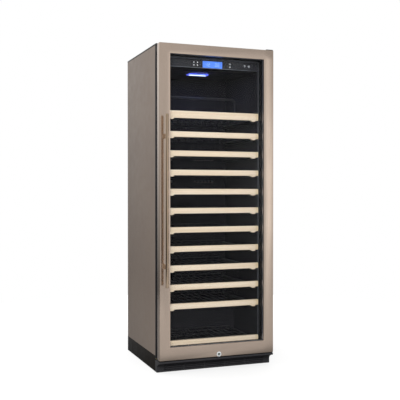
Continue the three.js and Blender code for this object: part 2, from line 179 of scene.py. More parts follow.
class Shape:
    """A mesh in the making. Solids are added one by one, and make() or piece() makes the object."""

    def __init__(self):
        self.mesh = bmesh.new()
        self.index = 0

    def paint(self, index):
        """Sets which of the piece's materials the solids added from now on have."""
        self.index = index
        return self

    def take(self, part):
        for face in part.faces:
            face.material_index = self.index
        bmesh.ops.recalc_face_normals(part, faces=part.faces[:])
        data = bpy.data.meshes.new("part")
        part.to_mesh(data)
        part.free()
        self.mesh.from_mesh(data)
        bpy.data.meshes.remove(data)
        return self

    def block(self, x, y, z, bevel=0.5, segments=2):
        part = bmesh.new()
        bmesh.ops.create_cube(part, size=1)
        for vertex in part.verts:
            middle = [sum(side) / 2 + vertex.co[i] * (side[1] - side[0])
                      for i, side in enumerate((x, y, z))]
            vertex.co = middle
        if bevel:
            round_edges(part, part.edges[:], bevel, segments)
        return self.take(part)

    def prism(self, outline, axis, start, end, bevel=0.0, segments=2):
        part = bmesh.new()
        low = [part.verts.new(on_axis(axis, a, b, start)) for a, b in outline]
        high = [part.verts.new(on_axis(axis, a, b, end)) for a, b in outline]
        part.faces.new(low)
        part.faces.new(high)
        join_loops(part, low, high)
        if bevel:
            round_edges(part, sharp_edges(part, 40), bevel, segments)
        return self.take(part)

    def lathe(self, profile, axis, a, b, sides=32):
        """Turns (radius, along) points round an axis through (a, b)."""
        part = bmesh.new()
        rows = []
        for radius, along in profile:
            if radius < 1e-6:
                rows.append([part.verts.new(on_axis(axis, a, b, along))])
                continue
            circle = arc((a, b), radius, 0, 360, sides)[:-1]
            rows.append([part.verts.new(on_axis(axis, u, v, along)) for u, v in circle])
        for lower, upper in zip(rows, rows[1:]):
            join_loops(part, lower, upper)
        if len(rows[0]) > 1 and len(rows[-1]) > 1:
            if profile[0] == profile[-1]:
                bmesh.ops.remove_doubles(part, verts=part.verts[:], dist=1e-5)
            else:
                part.faces.new(rows[0])
                part.faces.new(rows[-1])
        return self.take(part)

    def disc(self, radius, start, end, axis, a, b, sides=32):
        """A round bar between two places along an axis."""
        return self.lathe([(0, start), (radius, start), (radius, end), (0, end)], axis, a, b, sides)

    def tube(self, points, radius, sides=10, closed=False):
        """A round rod along a line of points."""
        part = bmesh.new()
        spots = [Vector(point) for point in points]
        count = len(spots)
        normal = None
        rows = []
        for index, spot in enumerate(spots):
            before = spots[index - 1] if index or closed else spot
            after = spots[(index + 1) % count] if index < count - 1 or closed else spot
            forward = (after - before).normalized()
            if normal is None:
                normal = forward.orthogonal().normalized()
            normal = (normal - forward * normal.dot(forward)).normalized()
            across = forward.cross(normal)
            row = []
            for side in range(sides):
                angle = 2 * math.pi * side / sides
                offset = normal * math.cos(angle) + across * math.sin(angle)
                row.append(part.verts.new(spot + offset * radius))
            rows.append(row)
        for lower, upper in zip(rows, rows[1:]):
            join_loops(part, lower, upper)
        if closed:
            join_loops(part, rows[-1], rows[0])
        else:
            part.faces.new(rows[0])
            part.faces.new(rows[-1])
        return self.take(part)

    def surround(self, profile, x, z):
        """Sweeps a closed profile of (outwards, y) points round a rectangle, with mitred corners."""
        part = bmesh.new()
        rows = []
        for side_x, side_z in ((0, 0), (1, 0), (1, 1), (0, 1)):
            row = []
            for outwards, y in profile:
                a = x[side_x] + outwards * (1 if side_x else -1)
                b = z[side_z] + outwards * (1 if side_z else -1)
                row.append(part.verts.new((a, y, b)))
            rows.append(row)
        for index, row in enumerate(rows):
            join_loops(part, row, rows[(index + 1) % 4])
        return self.take(part)

    def plate(self, x, y, z, holes=(), bevel=0.0):
        """An upright plate across y with rectangular holes, given as ((x0, x1), (z0, z1))."""
        part = bmesh.new()
        columns = sorted({*x, *(v for hole in holes for v in hole[0])})
        rows = sorted({*z, *(v for hole in holes for v in hole[1])})

        def solid(column, row):
            if not (0 <= column < len(columns) - 1 and 0 <= row < len(rows) - 1):
                return False
            a = (columns[column] + columns[column + 1]) / 2
            b = (rows[row] + rows[row + 1]) / 2
            return not any(h[0][0] < a < h[0][1] and h[1][0] < b < h[1][1] for h in holes)

        corners = {}

        def corner(column, row, side):
            key = (column, row, side)
            if key not in corners:
                corners[key] = part.verts.new((columns[column], y[side], rows[row]))
            return corners[key]

        steps = {(0, 0): (1, 0, 0, -1), (1, 0): (1, 1, 1, 0), (1, 1): (0, 1, 0, 1), (0, 1): (0, 0, -1, 0)}
        for column in range(len(columns) - 1):
            for row in range(len(rows) - 1):
                if not solid(column, row):
                    continue
                for side in (0, 1):
                    part.faces.new([corner(column + i, row + j, side) for i, j in steps])
                for (i, j), (next_i, next_j, over_column, over_row) in steps.items():
                    if not solid(column + over_column, row + over_row):
                        here, there = (column + i, row + j), (column + next_i, row + next_j)
                        part.faces.new([corner(*here, 0), corner(*there, 0),
                                        corner(*there, 1), corner(*here, 1)])
        bmesh.ops.dissolve_limit(
            part, angle_limit=0.01, verts=part.verts[:], edges=part.edges[:], delimit={"NORMAL"})
        if bevel:
            round_edges(part, sharp_edges(part, 40), bevel, 2)
        return self.take(part)

    def folded(self, path, axis, start, end, thickness, radius, away):
        """Sheet metal: a line folded in sharp bends and swept along an axis.

        Its outer face looks along x, towards +x or -x as away is 1 or -1.
        """
        part = bmesh.new()
        line = fillet(path, radius, 3, closed=False)
        low = [part.verts.new(on_axis(axis, a, b, start)) for a, b in line]
        high = [part.verts.new(on_axis(axis, a, b, end)) for a, b in line]
        join_loops(part, low, high, closed=False)
        face_outwards(part, 0, away)
        thicken(part, thickness)
        return self.take(part)

    def subtract(self, tool):
        """Cuts another shape out of this one."""
        objects = []
        for shape in (self, tool):
            data = bpy.data.meshes.new("cut")
            shape.mesh.to_mesh(data)
            shape.mesh.free()
            objects.append(bpy.data.objects.new("cut", data))
            bpy.context.scene.collection.objects.link(objects[-1])
        body, cutter = objects
        modifier = body.modifiers.new("cut", "BOOLEAN")
        modifier.object = cutter
        modifier.solver = "EXACT"
        result = body.evaluated_get(bpy.context.evaluated_depsgraph_get())
        self.mesh = bmesh.new()
        self.mesh.from_mesh(result.to_mesh())
        result.to_mesh_clear()
        for item in objects:
            data = item.data
            bpy.data.objects.remove(item)
            bpy.data.meshes.remove(data)
        return self

    def make(self, name, materials, sharp=35):
        """Makes the object, in metres. Edges under sharp degrees are shaded smooth."""
        for vertex in self.mesh.verts:
            vertex.co = (vertex.co.x * MM, vertex.co.y * MM + FRONT_Y, vertex.co.z * MM)
        data = bpy.data.meshes.new(name)
        self.mesh.to_mesh(data)
        self.mesh.free()
        data.shade_smooth()
        data.set_sharp_from_angle(angle=math.radians(sharp))
        for material in materials if isinstance(materials, (list, tuple)) else [materials]:
            data.materials.append(material)
        made = bpy.data.objects.new(name, data)
        bpy.context.scene.collection.objects.link(made)
        return made

    def piece(self, name, body, slot, materials, replaces=(), sharp=35):
        """Makes the object, and says what it rides on and which CAD nodes it stands for."""
        made = self.make(name, materials, sharp)
        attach(made, body)
        if replaces:
            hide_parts(*replaces)


def join_loops(part, lower, upper, closed=True):
    """Faces between two rows of vertices. A row of one vertex is a tip."""
    count = max(len(lower), len(upper))
    for index in range(count if closed else count - 1):
        after = (index + 1) % count
        corners = [lower[index % len(lower)], lower[after % len(lower)],
                   upper[after % len(upper)], upper[index % len(upper)]]
        unique = list(dict.fromkeys(corners))
        if len(unique) > 2:
            part.faces.new(unique)


def sharp_edges(part, degrees):
    limit = math.radians(degrees)
    return [e for e in part.edges if len(e.link_faces) == 2 and e.calc_face_angle() > limit]


def round_edges(part, edges, offset, segments):
    bmesh.ops.recalc_face_normals(part, faces=part.faces[:])
    bmesh.ops.bevel(part, geom=edges, offset=offset, segments=segments, profile=0.5,
                    affect="EDGES", clamp_overlap=True)


def thicken(part, thickness):
    """Gives an open surface a thickness, on the side its faces look away from."""
    bmesh.ops.solidify(part, geom=part.faces[:], thickness=thickness)


def face_outwards(part, axis, sign):
    """Turns an open surface so that the face furthest along the axis, one way, looks that way."""
    bmesh.ops.recalc_face_normals(part, faces=part.faces[:])
    furthest = max(part.faces, key=lambda face: sign * face.calc_center_median()[axis])
    if sign * furthest.normal[axis] < 0:
        bmesh.ops.reverse_faces(part, faces=part.faces[:])


def from_node(node, bevel):
    """A copy of a CAD node's shape with its sharp edges rounded."""
    part = bmesh.new()
    part.from_mesh(frame["nodes"][node].data)
    for vertex in part.verts:
        vertex.co = (vertex.co.x / MM, (vertex.co.y - FRONT_Y) / MM, vertex.co.z / MM)
    bmesh.ops.remove_doubles(part, verts=part.verts[:], dist=0.001)
    bmesh.ops.dissolve_limit(part, angle_limit=0.01, verts=part.verts[:], edges=part.edges[:],
                             delimit={"NORMAL"})
    round_edges(part, sharp_edges(part, 40), bevel, 2)
    return Shape().take(part)


def screw_head(shape, axis, a, b, face, outwards, radius=3.6):
    """A pan-head screw, standing on a face and looking along the axis."""
    height = radius * 0.55
    dome = [(1, 0), (1, 0.4), (0.8, 0.85), (0.45, 1), (0, 1)]
    profile = [(share * radius, face + outwards * height * rise) for share, rise in dome]
    shape.lathe([(0, face), *profile], axis, a, b, 18)


# ---- materials -----------------------------------------------------------------------------------


def graph(name, **sockets):
    """A material with a Principled shader, with the given values on the shader's own sockets."""
    made = bpy.data.materials.new(name)
    made.use_nodes = True
    shader = made.node_tree.nodes["Principled BSDF"]
    for socket, value in sockets.items():
        shader.inputs[socket.replace("_", " ")].default_value = value
    return made, made.node_tree, shader


def colour(red, green, blue):
    """A linear RGBA colour from sRGB values up to 255."""
    linear = []
    for value in (red, green, blue):
        share = value / 255
        linear.append(share / 12.92 if share <= 0.04045 else ((share + 0.055) / 1.055) ** 2.4)
    return (*linear, 1)


def feed(tree, target, inputs):
    """Gives a node its inputs, by name or number. Each is a value or another node's output."""
    for socket, value in inputs.items():
        if isinstance(value, bpy.types.NodeSocket):
            tree.links.new(value, target.inputs[socket])
        else:
            target.inputs[socket].default_value = value


def node(tree, kind, inputs=(), **settings):
    """Adds a node with its settings and inputs."""
    made = tree.nodes.new("ShaderNode" + kind)
    for setting, value in settings.items():
        setattr(made, setting, value)
    feed(tree, made, dict(inputs))
    return made


def noise(tree, scale, stretch=(1, 1, 1), detail=3.0, roughness=0.5):
    """Noise in object coordinates. A small stretch value draws it out along that axis."""
    places = node(tree, "TexCoord").outputs["Object"]
    stretched = node(tree, "Mapping", {"Vector": places, "Scale": stretch}).outputs["Vector"]
    inputs = {"Vector": stretched, "Scale": scale, "Detail": detail, "Roughness": roughness}
    return node(tree, "TexNoise", inputs).outputs[0]


def remap(tree, value, low, high, start=0.3, end=0.7, interpolation="LINEAR"):
    """A number that goes from low to high as value goes from start to end."""
    inputs = {"Value": value, "From Min": start, "From Max": end, "To Min": low, "To Max": high}
    return node(tree, "MapRange", inputs, interpolation_type=interpolation).outputs["Result"]


def ramp(tree, value, start, end, low, high):
    """A smooth step from low at start to high at end."""
    return remap(tree, value, low, high, start, end, "SMOOTHSTEP")


def calculate(tree, operation, *numbers):
    """The result of a Math node. Each number is a value or another node's output."""
    return node(tree, "Math", dict(enumerate(numbers)), operation=operation).outputs["Value"]


def mix(tree, factor, first, second):
    """Mixes two colours, each a value or an output, by a factor output."""
    return node(tree, "Mix", {0: factor, 6: first, 7: second}, data_type="RGBA").outputs[2]


def bump(tree, height, distance, strength):
    inputs = {"Height": height, "Distance": distance, "Strength": strength}
    return node(tree, "Bump", inputs).outputs["Normal"]


def brushed(name, light, dark, stretch, roughness):
    """Brushed steel: fine streaks along the axis whose stretch value is small."""
    made, tree, shader = graph(name, Metallic=1.0)
    streaks = noise(tree, 1.0, stretch, 4.0, 0.62)
    cloud = noise(tree, 4.0, detail=2.0)
    tone = mix(tree, remap(tree, streaks, 0.0, 0.5), light, dark)
    feed(tree, shader, {
        "Base Color": mix(tree, remap(tree, cloud, 0.0, 0.35), tone, dark),
        "Roughness": remap(tree, streaks, roughness - 0.03, roughness + 0.05),
        "Normal": bump(tree, streaks, 0.00001, 0.2),
    })
    return made


def painted(name, base, shade, roughness, metallic=0.0, peel=420.0, depth=0.00005, specular=0.5):
    """Sprayed paint: a fine orange peel, with its colour a little uneven over a wide area."""
    made, tree, shader = graph(name, Metallic=metallic, IOR=1.45, Specular_IOR_Level=specular)
    feed(tree, shader, {
        "Base Color": mix(tree, remap(tree, noise(tree, 3.0), 0.0, 1.0), base, shade),
        "Roughness": remap(tree, noise(tree, 22.0, detail=4.0), roughness - 0.04, roughness + 0.05),
        "Normal": bump(tree, noise(tree, peel, detail=2.0), depth, 0.3),
    })
    return made


def moulded(name, base, shade, roughness, grain=900.0, depth=0.00006, specular=0.5):
    """Moulded plastic or rubber with a fine pebbled grain and faint rubbed patches."""
    made, tree, shader = graph(name, IOR=1.46, Specular_IOR_Level=specular)
    patches = noise(tree, 9.0, detail=5.0, roughness=0.6)
    feed(tree, shader, {
        "Base Color": mix(tree, remap(tree, patches, 0.0, 1.0), base, shade),
        "Roughness": remap(tree, patches, roughness - 0.06, roughness + 0.06),
        "Normal": bump(tree, noise(tree, grain, detail=2.0), depth, 0.4),
    })
    return made


def beech_wood(name, light, dark, fleck):
    """Planed beech: straight grain along x, with the short dark flecks that beech has."""
    made, tree, shader = graph(name, IOR=1.45, Coat_Weight=0.12, Coat_Roughness=0.35)
    rings = noise(tree, 1.0, (1.6, 30.0, 70.0), 4.0, 0.6)
    pores = noise(tree, 1.0, (26.0, 500.0, 900.0), 3.0, 0.6)
    flecks = noise(tree, 1.0, (110.0, 700.0, 900.0), 1.0, 0.4)
    grain = mix(tree, remap(tree, rings, 0.0, 1.0, 0.32, 0.68), light, dark)
    fine = mix(tree, remap(tree, pores, 0.0, 0.4, 0.45, 0.8), grain, fleck)
    feed(tree, shader, {
        "Base Color": mix(tree, remap(tree, flecks, 0.0, 0.3, 0.64, 0.74), fine, fleck),
        "Roughness": remap(tree, pores, 0.42, 0.56),
        "Normal": bump(tree, pores, 0.0001, 0.25),
    })
    return made


def pane_glass(name, tint, straight_on):
    """A clear pane: see-through, with a reflection that grows from straight on to grazing angles."""
    made = bpy.data.materials.new(name)
    made.use_nodes = True
    tree = made.node_tree
    tree.nodes.remove(tree.nodes["Principled BSDF"])
    grazing = calculate(tree, "POWER", node(tree, "LayerWeight").outputs["Facing"], 5.0)
    clear = node(tree, "BsdfTransparent", {"Color": tint}).outputs["BSDF"]
    gloss = node(tree, "BsdfGlossy", {"Roughness": 0.02}).outputs["BSDF"]
    share = remap(tree, grazing, straight_on, 1.0, 0.0, 1.0)
    blend = node(tree, "MixShader", {0: share, 1: clear, 2: gloss})
    feed(tree, tree.nodes["Material Output"], {"Surface": blend.outputs["Shader"]})
    return made


def glowing(name, base, light, strength, unevenness, scale):
    """A lit plastic window whose glow is a little uneven."""
    made, tree, shader = graph(name, Base_Color=base, Roughness=0.25, Emission_Strength=strength)
    cloud = remap(tree, noise(tree, scale, detail=1.0), 0.0, 1.0)
    dim = (*(v * (1 - unevenness) for v in light[:3]), 1)
    feed(tree, shader, {"Emission Color": mix(tree, cloud, light, dim)})
    return made


def coil_metal(name, base, shade, roughness):
    """Rolled aluminium or tinned sheet with mottled tarnish."""
    made, tree, shader = graph(name, Metallic=0.9)
    spangle = noise(tree, 60.0, detail=5.0, roughness=0.65)
    feed(tree, shader, {
        "Base Color": mix(tree, remap(tree, spangle, 0.0, 1.0), base, shade),
        "Roughness": remap(tree, spangle, roughness - 0.1, roughness + 0.12),
        "Normal": bump(tree, spangle, 0.00005, 0.3),
    })
    return made


BRONZE = colour(222, 203, 187)
BRONZE_DARK = colour(196, 176, 160)
UPRIGHT_GRAIN = (1500.0, 1500.0, 9.0)
LEVEL_GRAIN = (9.0, 1500.0, 1500.0)

STEEL_UPRIGHT = brushed("bronze_steel_upright", BRONZE, BRONZE_DARK, UPRIGHT_GRAIN, 0.17)
STEEL_LEVEL = brushed("bronze_steel_level", BRONZE, BRONZE_DARK, LEVEL_GRAIN, 0.17)
STEEL_HANDLE = brushed("bronze_handle", colour(212, 188, 163), colour(188, 162, 136), UPRIGHT_GRAIN, 0.14)
TAUPE = painted("taupe_paint", colour(143, 129, 118), colour(137, 123, 113), 0.42, 0.35)
BLACK_PAINT = painted("black_paint", colour(36, 35, 36), colour(29, 28, 29), 0.48)
SKIRT_PAINT = painted("skirt_paint", colour(28, 24, 21), colour(22, 19, 16), 0.5, specular=0.15)
BLACK_WIRE = painted("black_wire_paint", colour(38, 38, 41), colour(30, 30, 33), 0.38, peel=700.0)
BLACK_PLASTIC = moulded("black_plastic", colour(28, 28, 31), colour(22, 22, 25), 0.46, specular=0.12)
PLINTH_PLASTIC = moulded("plinth_plastic", colour(44, 43, 46), colour(34, 34, 37), 0.42)
LINER_PLASTIC = moulded("dark_liner", colour(34, 33, 38), colour(28, 27, 32), 0.5, grain=500.0, specular=0.1)
# The light grey of the liner's rim bead is a painted highlight along the front edge of the liner's mouth.
LINER_RIM_PAINTED_HIGHLIGHT = moulded("liner_rim_painted_highlight", colour(112, 114, 122), colour(98, 100, 108), 0.4, grain=500.0)
OVERLAY = moulded("panel_overlay", colour(46, 46, 51), colour(42, 42, 47), 0.18, grain=300.0, depth=0.00001)
# Light metal for the touch panel's strips, whose brightness paints the highlight lines along the panel's top
# and bottom edges; the glass spacer uses it too.
PANEL_TRIM = coil_metal("panel_trim", colour(186, 188, 200), colour(160, 162, 174), 0.4)
RUBBER = moulded("black_rubber", colour(26, 26, 28), colour(21, 21, 23), 0.75, grain=1400.0, specular=0.2)
BEECH = beech_wood("beech", colour(250, 231, 209), colour(238, 214, 186), colour(206, 170, 134))
BEECH_END = beech_wood("beech_rail_end", colour(244, 222, 190), colour(228, 202, 164), colour(196, 160, 120))
OUTER_GLASS = pane_glass("outer_glass", (0.97, 0.975, 0.975, 1), 0.006)
INNER_GLASS = pane_glass("inner_glass", (0.98, 0.985, 0.985, 1), 0.004)
LCD = glowing("lcd_backlight", colour(40, 70, 150), colour(94, 144, 246), 1.0, 0.18, 30.0)
LCD_MARK = glowing("lcd_mark", colour(200, 220, 255), colour(118, 165, 250), 1.0, 0.05, 30.0)
SYMBOL = glowing("touch_symbol", colour(230, 230, 235), colour(205, 208, 215), 0.8, 0.1, 60.0)
LAMP = glowing("lamp_lens", colour(150, 170, 255), colour(84, 100, 255), 1.1, 0.2, 25.0)
LED_STRIP = glowing("led_strip", colour(240, 246, 255), colour(225, 240, 255), 2.2, 0.05, 25.0)
# The lock ring's near-white, mostly diffuse colour is a painted sheen in place of the bright reflections of
# polished metal.
LOCK_RING_PAINTED_SHEEN = painted("polished_metal", colour(246, 248, 250), colour(232, 235, 238), 0.18, 0.35)
LOCK_CORE = coil_metal("lock_core", colour(176, 184, 178), colour(138, 146, 141), 0.3)
GALVANISED = coil_metal("galvanised_sheet", colour(176, 180, 182), colour(150, 154, 158), 0.42)
FIN_METAL = coil_metal("fin_metal", colour(172, 176, 180), colour(132, 136, 142), 0.4)
COPPER = coil_metal("copper_pipe", colour(214, 140, 104), colour(168, 100, 70), 0.35)
FOAM = moulded("foam", colour(222, 208, 160), colour(208, 190, 136), 0.9, grain=220.0, depth=0.0006)


# ---- door ----------------------------------------------------------------------------------------


def door_skin():
    """The folded steel skin: two upright stiles with the two rails let in between them."""
    part = bmesh.new()
    columns = (DOOR_X[0], *WINDOW_X, DOOR_X[1])
    rows = (DOOR_Z[0], *WINDOW_Z, DOOR_Z[1])
    front = [[part.verts.new((x, 0, z)) for x in columns] for z in rows]
    for row in range(3):
        for column in range(3):
            if (row, column) != (1, 1):
                part.faces.new([front[row][column], front[row][column + 1],
                                front[row + 1][column + 1], front[row + 1][column]])
    rim = front[0] + [line[3] for line in front[1:3]] + front[3][::-1] + [front[2][0], front[1][0]]
    back = [part.verts.new((vertex.co.x, DOOR_Y[1], vertex.co.z)) for vertex in rim]
    join_loops(part, rim, back)
    face_outwards(part, 1, -1)
    bmesh.ops.bevel(part, geom=sharp_edges(part, 60), offset=2.2, segments=4, profile=0.5,
                    affect="EDGES")
    thicken(part, 1.8)
    round_edges(part, sharp_edges(part, 70), 0.45, 2)
    skin = Shape().take(part)
    lock_x, _, lock_z = joint_place("lock_turn")
    hinge_x, hinge_y, _ = joint_place("door_hinge")
    holes = Shape()
    holes.disc(9.6, -5, 5, "y", lock_x, lock_z)
    for z in DOOR_Z:
        holes.disc(4.6, z - 4, z + 4, "z", hinge_x, hinge_y)
    skin.subtract(holes)
    for face in skin.mesh.faces:
        face.material_index = int(WINDOW_X[0] < face.calc_center_median().x < WINDOW_X[1])
    skin.piece("door_skin", "door", "bronze_steel", [STEEL_UPRIGHT, STEEL_LEVEL], ["door_frame"])


def handle():
    """A round bar with domed ends, on two flat standoffs that each have a foot on the door."""
    x, y, z = span("handle_bar")
    radius, dome = (x[1] - x[0]) / 2, 3.0
    lower = arc((radius - dome, z[0] + dome), dome, -90, 0, 6)
    upper = arc((radius - dome, z[1] - dome), dome, 0, 90, 6)
    bar = Shape().lathe([(0, z[0]), *lower, *upper, (0, z[1])], "z", middle(x), middle(y), 48)
    bar.piece("handle_rod", "door", "bronze_steel", STEEL_HANDLE, ["handle_bar"])
    for post in ("handle_post_lower", "handle_post_upper"):
        x, y, z = span(post)
        standoff = Shape().prism(rounded(x, z, 3.0), "y", *y, 0.5)
        standoff.prism(rounded(grown(x, 1.5), grown(z, 1.5), 4.0), "y", y[1] - 2, y[1], 0.6)
        standoff.piece(post.replace("post", "standoff"), "door", "bronze_steel", STEEL_HANDLE, [post])


def door_lock():
    """A ring and sleeve in the door, and a barrel with a keyway and a cam that points right."""
    x, _, z = joint_place("lock_turn")
    bore, sleeve, ring, lip = 7.2, 9.0, 11.75, 1.4
    face, back = span("lock_housing")[1]
    rim = arc((ring - lip, face + lip), lip, 270, 360, 5)
    profile = [(bore, face + 0.8), (bore + 0.8, face), *rim, (ring, -CLEARANCE), (sleeve, -CLEARANCE),
               (sleeve, back), (bore, back), (bore, face + 0.8)]
    housing = Shape().lathe(profile, "y", x, z, 40)
    # The ring's near-white paint is a painted sheen.
    housing.piece("lock_ring", "door", "polished_metal", LOCK_RING_PAINTED_SHEEN, ["lock_housing"])
    core, chamfer = bore - CLEARANCE, 0.6
    front, rear = span("lock_barrel")[1]
    outline = [(0, front), (core - chamfer, front), (core, front + chamfer), (core, rear), (0, rear)]
    barrel = Shape().lathe(outline, "y", x, z)
    barrel.subtract(Shape().block((x - 0.9, x + 0.9), (front - 2, front + 7), (z - 3.8, z + 3.8), 0))
    barrel.subtract(Shape().disc(1.7, front - 1, front + 5, "y", x, z, 16))
    reach, half = span("lock_barrel")[0][1], 5.5
    cam = [(x, z - half), *arc((reach - half, z), half, -90, 90, 8), (x, z + half)]
    barrel.prism(cam, "y", rear - 3, rear, 0.4)
    barrel.piece("lock_cylinder", "lock", "polished_metal", LOCK_CORE, ["lock_barrel"])


def door_gasket():
    """A magnetic seal: a barbed base in the door, a soft bellows, and the pocket of the magnet."""
    x, (near, far), z = span("door_gasket")
    left = [(-4, near), (-7.5, near + 1.2), (-3.5, near + 3.4), (-6.5, near + 5.4), (-3.8, near + 7.4),
            (-8.2, near + 9), (-8.2, far - 0.6), (-7.6, far)]
    right = [(-a, b) for a, b in reversed(left)]
    seal = Shape().surround(left + right, grown(x, -9), grown(z, -9))
    seal.piece("door_seal", "door", "black_rubber", RUBBER, ["door_gasket"], sharp=50)


def door_inner_frame():
    """The plastic frame behind the skin, and the spacer bar between the two panes."""
    lining = from_node("door_inner_frame", 0.8)
    lining.piece("door_lining", "door", "black_plastic", BLACK_PLASTIC, ["door_inner_frame"])
    near, far = span("outer_glass")[1][1], span("inner_glass")[1][0]
    band = [(0.05, near + 2.5), (0.05, far - 2.5), (-0.5, far - 3), (-0.5, near + 3)]
    spacer = Shape().surround(band, WINDOW_X, WINDOW_Z)
    spacer.piece("glass_spacer", "door", "black_plastic", PANEL_TRIM)


# ---- cabinet -------------------------------------------------------------------------------------


def side_panels():
    """Painted sheets with a narrow fold along their front and back edges."""
    fold = 13.5
    for side, name in ((-1, "left"), (1, "right")):
        x, y, z = span(f"side_panel_{name}")
        outer = side * x[1] if side > 0 else x[0]
        lip = outer - side * fold
        path = [(lip, y[0]), (outer, y[0]), (outer, y[1]), (lip, y[1])]
        panel = Shape().folded(path, "z", z[0], z[1], 1.5, 2.0, away=side)
        panel.piece(f"side_sheet_{name}", "cabinet", "taupe_sheet", TAUPE, [f"side_panel_{name}"])


def top_cover():
    cover = from_node("top_panel", 1.0)
    for x in (-250, 0, 250):
        screw_head(cover, "y", x, CABINET_Z[1] - 4, CABINET_Y[1], 1, 2.4)
    cover.piece("top_cover", "cabinet", "black_sheet", BLACK_PAINT, ["top_panel"])


def front_surround():
    flange = 15
    hole = (grown(LINER_X, -flange), grown(LINER_Z, -flange))
    surround = Shape().plate(*span("front_frame"), [hole], 1.6)
    surround.piece("front_surround", "cabinet", "black_plastic", BLACK_PLASTIC, ["front_frame"])


def back_sheet():
    """A galvanised sheet with five pressed ribs and a row of screws down each side."""
    x, y, z = span("back_panel")
    sheet = Shape().block(x, y, z, 0.5)
    foot, crest = y[1] - 0.4, y[1] + 1.6
    for centre in range(-200, 201, 100):
        rib = [(centre - 12, foot), (centre - 7, crest), (centre + 7, crest), (centre + 12, foot)]
        sheet.prism(rib, "z", z[0] + 60, z[1] - 60, 0.5)
    low, high = grown(z, -40)
    for side in (-1, 1):
        for step in range(7):
            screw_head(sheet, "y", side * (x[1] - 9), low + step * (high - low) / 6, y[1], 1)
    sheet.piece("back_sheet", "cabinet", "galvanised_sheet", GALVANISED, ["back_panel"])


def inner_liner():
    """The vacuum-formed box, with rounded corners and a moulded ledge under each shelf runner."""
    flange, wall = 15, 2.5
    front = LINER_Y[0]
    half = opening("control_box_inside")[0][1] + 5.3
    floor, head = grown(LINER_Z, -flange)
    step_y = opening("bottle_bay_12")[1][1] + CLEARANCE
    step_z, ceiling = grown(span("duct_cover")[2], CLEARANCE)
    back = LINER_Y[1] - wall
    head_y = span("control_housing")[1][1] + 4
    outline = [(front, floor), (step_y, floor), (step_y, step_z), (back, step_z), (back, ceiling),
               (head_y, ceiling), (head_y, head), (front, head)]
    part = bmesh.new()
    rows = [[part.verts.new((x, y, z)) for y, z in outline] for x in (-half, half)]
    part.faces.new(rows[0])
    part.faces.new(rows[1])
    join_loops(part, *rows)

    def in_front(item):
        return all(abs(vertex.co.y - front) < 0.01 for vertex in item.verts)

    round_edges(part, [edge for edge in part.edges if not in_front(edge)], 6.0, 3)
    mouth = [face for face in part.faces if in_front(face)]
    bmesh.ops.delete(part, geom=mouth, context="FACES_ONLY")
    face_outwards(part, 1, 1)
    bmesh.ops.reverse_faces(part, faces=part.faces[:])
    thicken(part, wall)
    liner = Shape().take(part)
    liner.plate(LINER_X, (front, front + wall), LINER_Z, [((-half, half), (floor, head))], 0.4)
    for number in SHELVES:
        x, y, _ = span(f"shelf_rack_{number}")
        top = shelf_base(number) + RUNNER_BOTTOM - CLEARANCE
        for side in (-1, 1):
            liner.block(mirrored(side, x[1] - 5, half + 1), (80, y[1]), (top - 9, top), 2.2, 3)
    # A rounded bead round the mouth of the liner, in a light grey that paints a highlight along its front
    # edge.
    rim = [(x, front + 0.6, z) for x, z in rounded((-half, half), (floor, head), 6)]
    liner.paint(1).tube(rim, 1.5, 8, closed=True)
    liner.piece("liner_shell", "cabinet", "dark_liner", [LINER_PLASTIC, LINER_RIM_PAINTED_HIGHLIGHT], ["inner_liner"])


def duct_cover():
    """The back wall of the cavity, with rows of air slots and a guarded opening for the fan."""
    x, y, z = span("duct_cover")
    fan_x, _, fan_z = joint_place("circulation_fan_spin")
    slots = []
    for height in (360, 470, 600, 920, 1040, 1160, 1300, 1400):
        for side in (-1, 1):
            for column in range(7):
                left = side * 130 - 70 + column * 20
                slots += [((left, left + 13), (low, low + 3)) for low in (height, height + 6)]
    wall = Shape().plate(x, y, z, slots, 0.5)
    wall.subtract(Shape().disc(64, y[0] - 2, y[1] + 2, "y", fan_x, fan_z, 48))
    wall.piece("back_wall", "cabinet", "dark_liner", LINER_PLASTIC, ["duct_cover"])
    guard = Shape()
    for radius in range(22, 66, 7):
        circle = arc((fan_x, fan_z), radius, 0, 360, 40)[:-1]
        guard.tube([(a, middle(y), b) for a, b in circle], 0.9, 8, closed=True)
    spokes(guard, (fan_x, y[1] - 0.8, fan_z), 12, 66, 1.6, 90)
    hub = [(0, y[0] - 0.6), (17, y[0] - 0.6), (19, y[0] + 0.6), (19, y[1]), (0, y[1])]
    guard.lathe(hub, "y", fan_x, fan_z)
    guard.piece("fan_guard", "cabinet", "dark_liner", BLACK_PLASTIC)


def spokes(shape, centre, inner, outer, thickness, first):
    """Three spokes across the y axis, the first at an angle in degrees."""
    x, y, z = centre
    for angle in (first, first + 120, first + 240):
        a, b = math.cos(math.radians(angle)), math.sin(math.radians(angle))
        ends = [(x + a * reach, y, z + b * reach) for reach in (inner, outer)]
        shape.tube(ends, thickness)


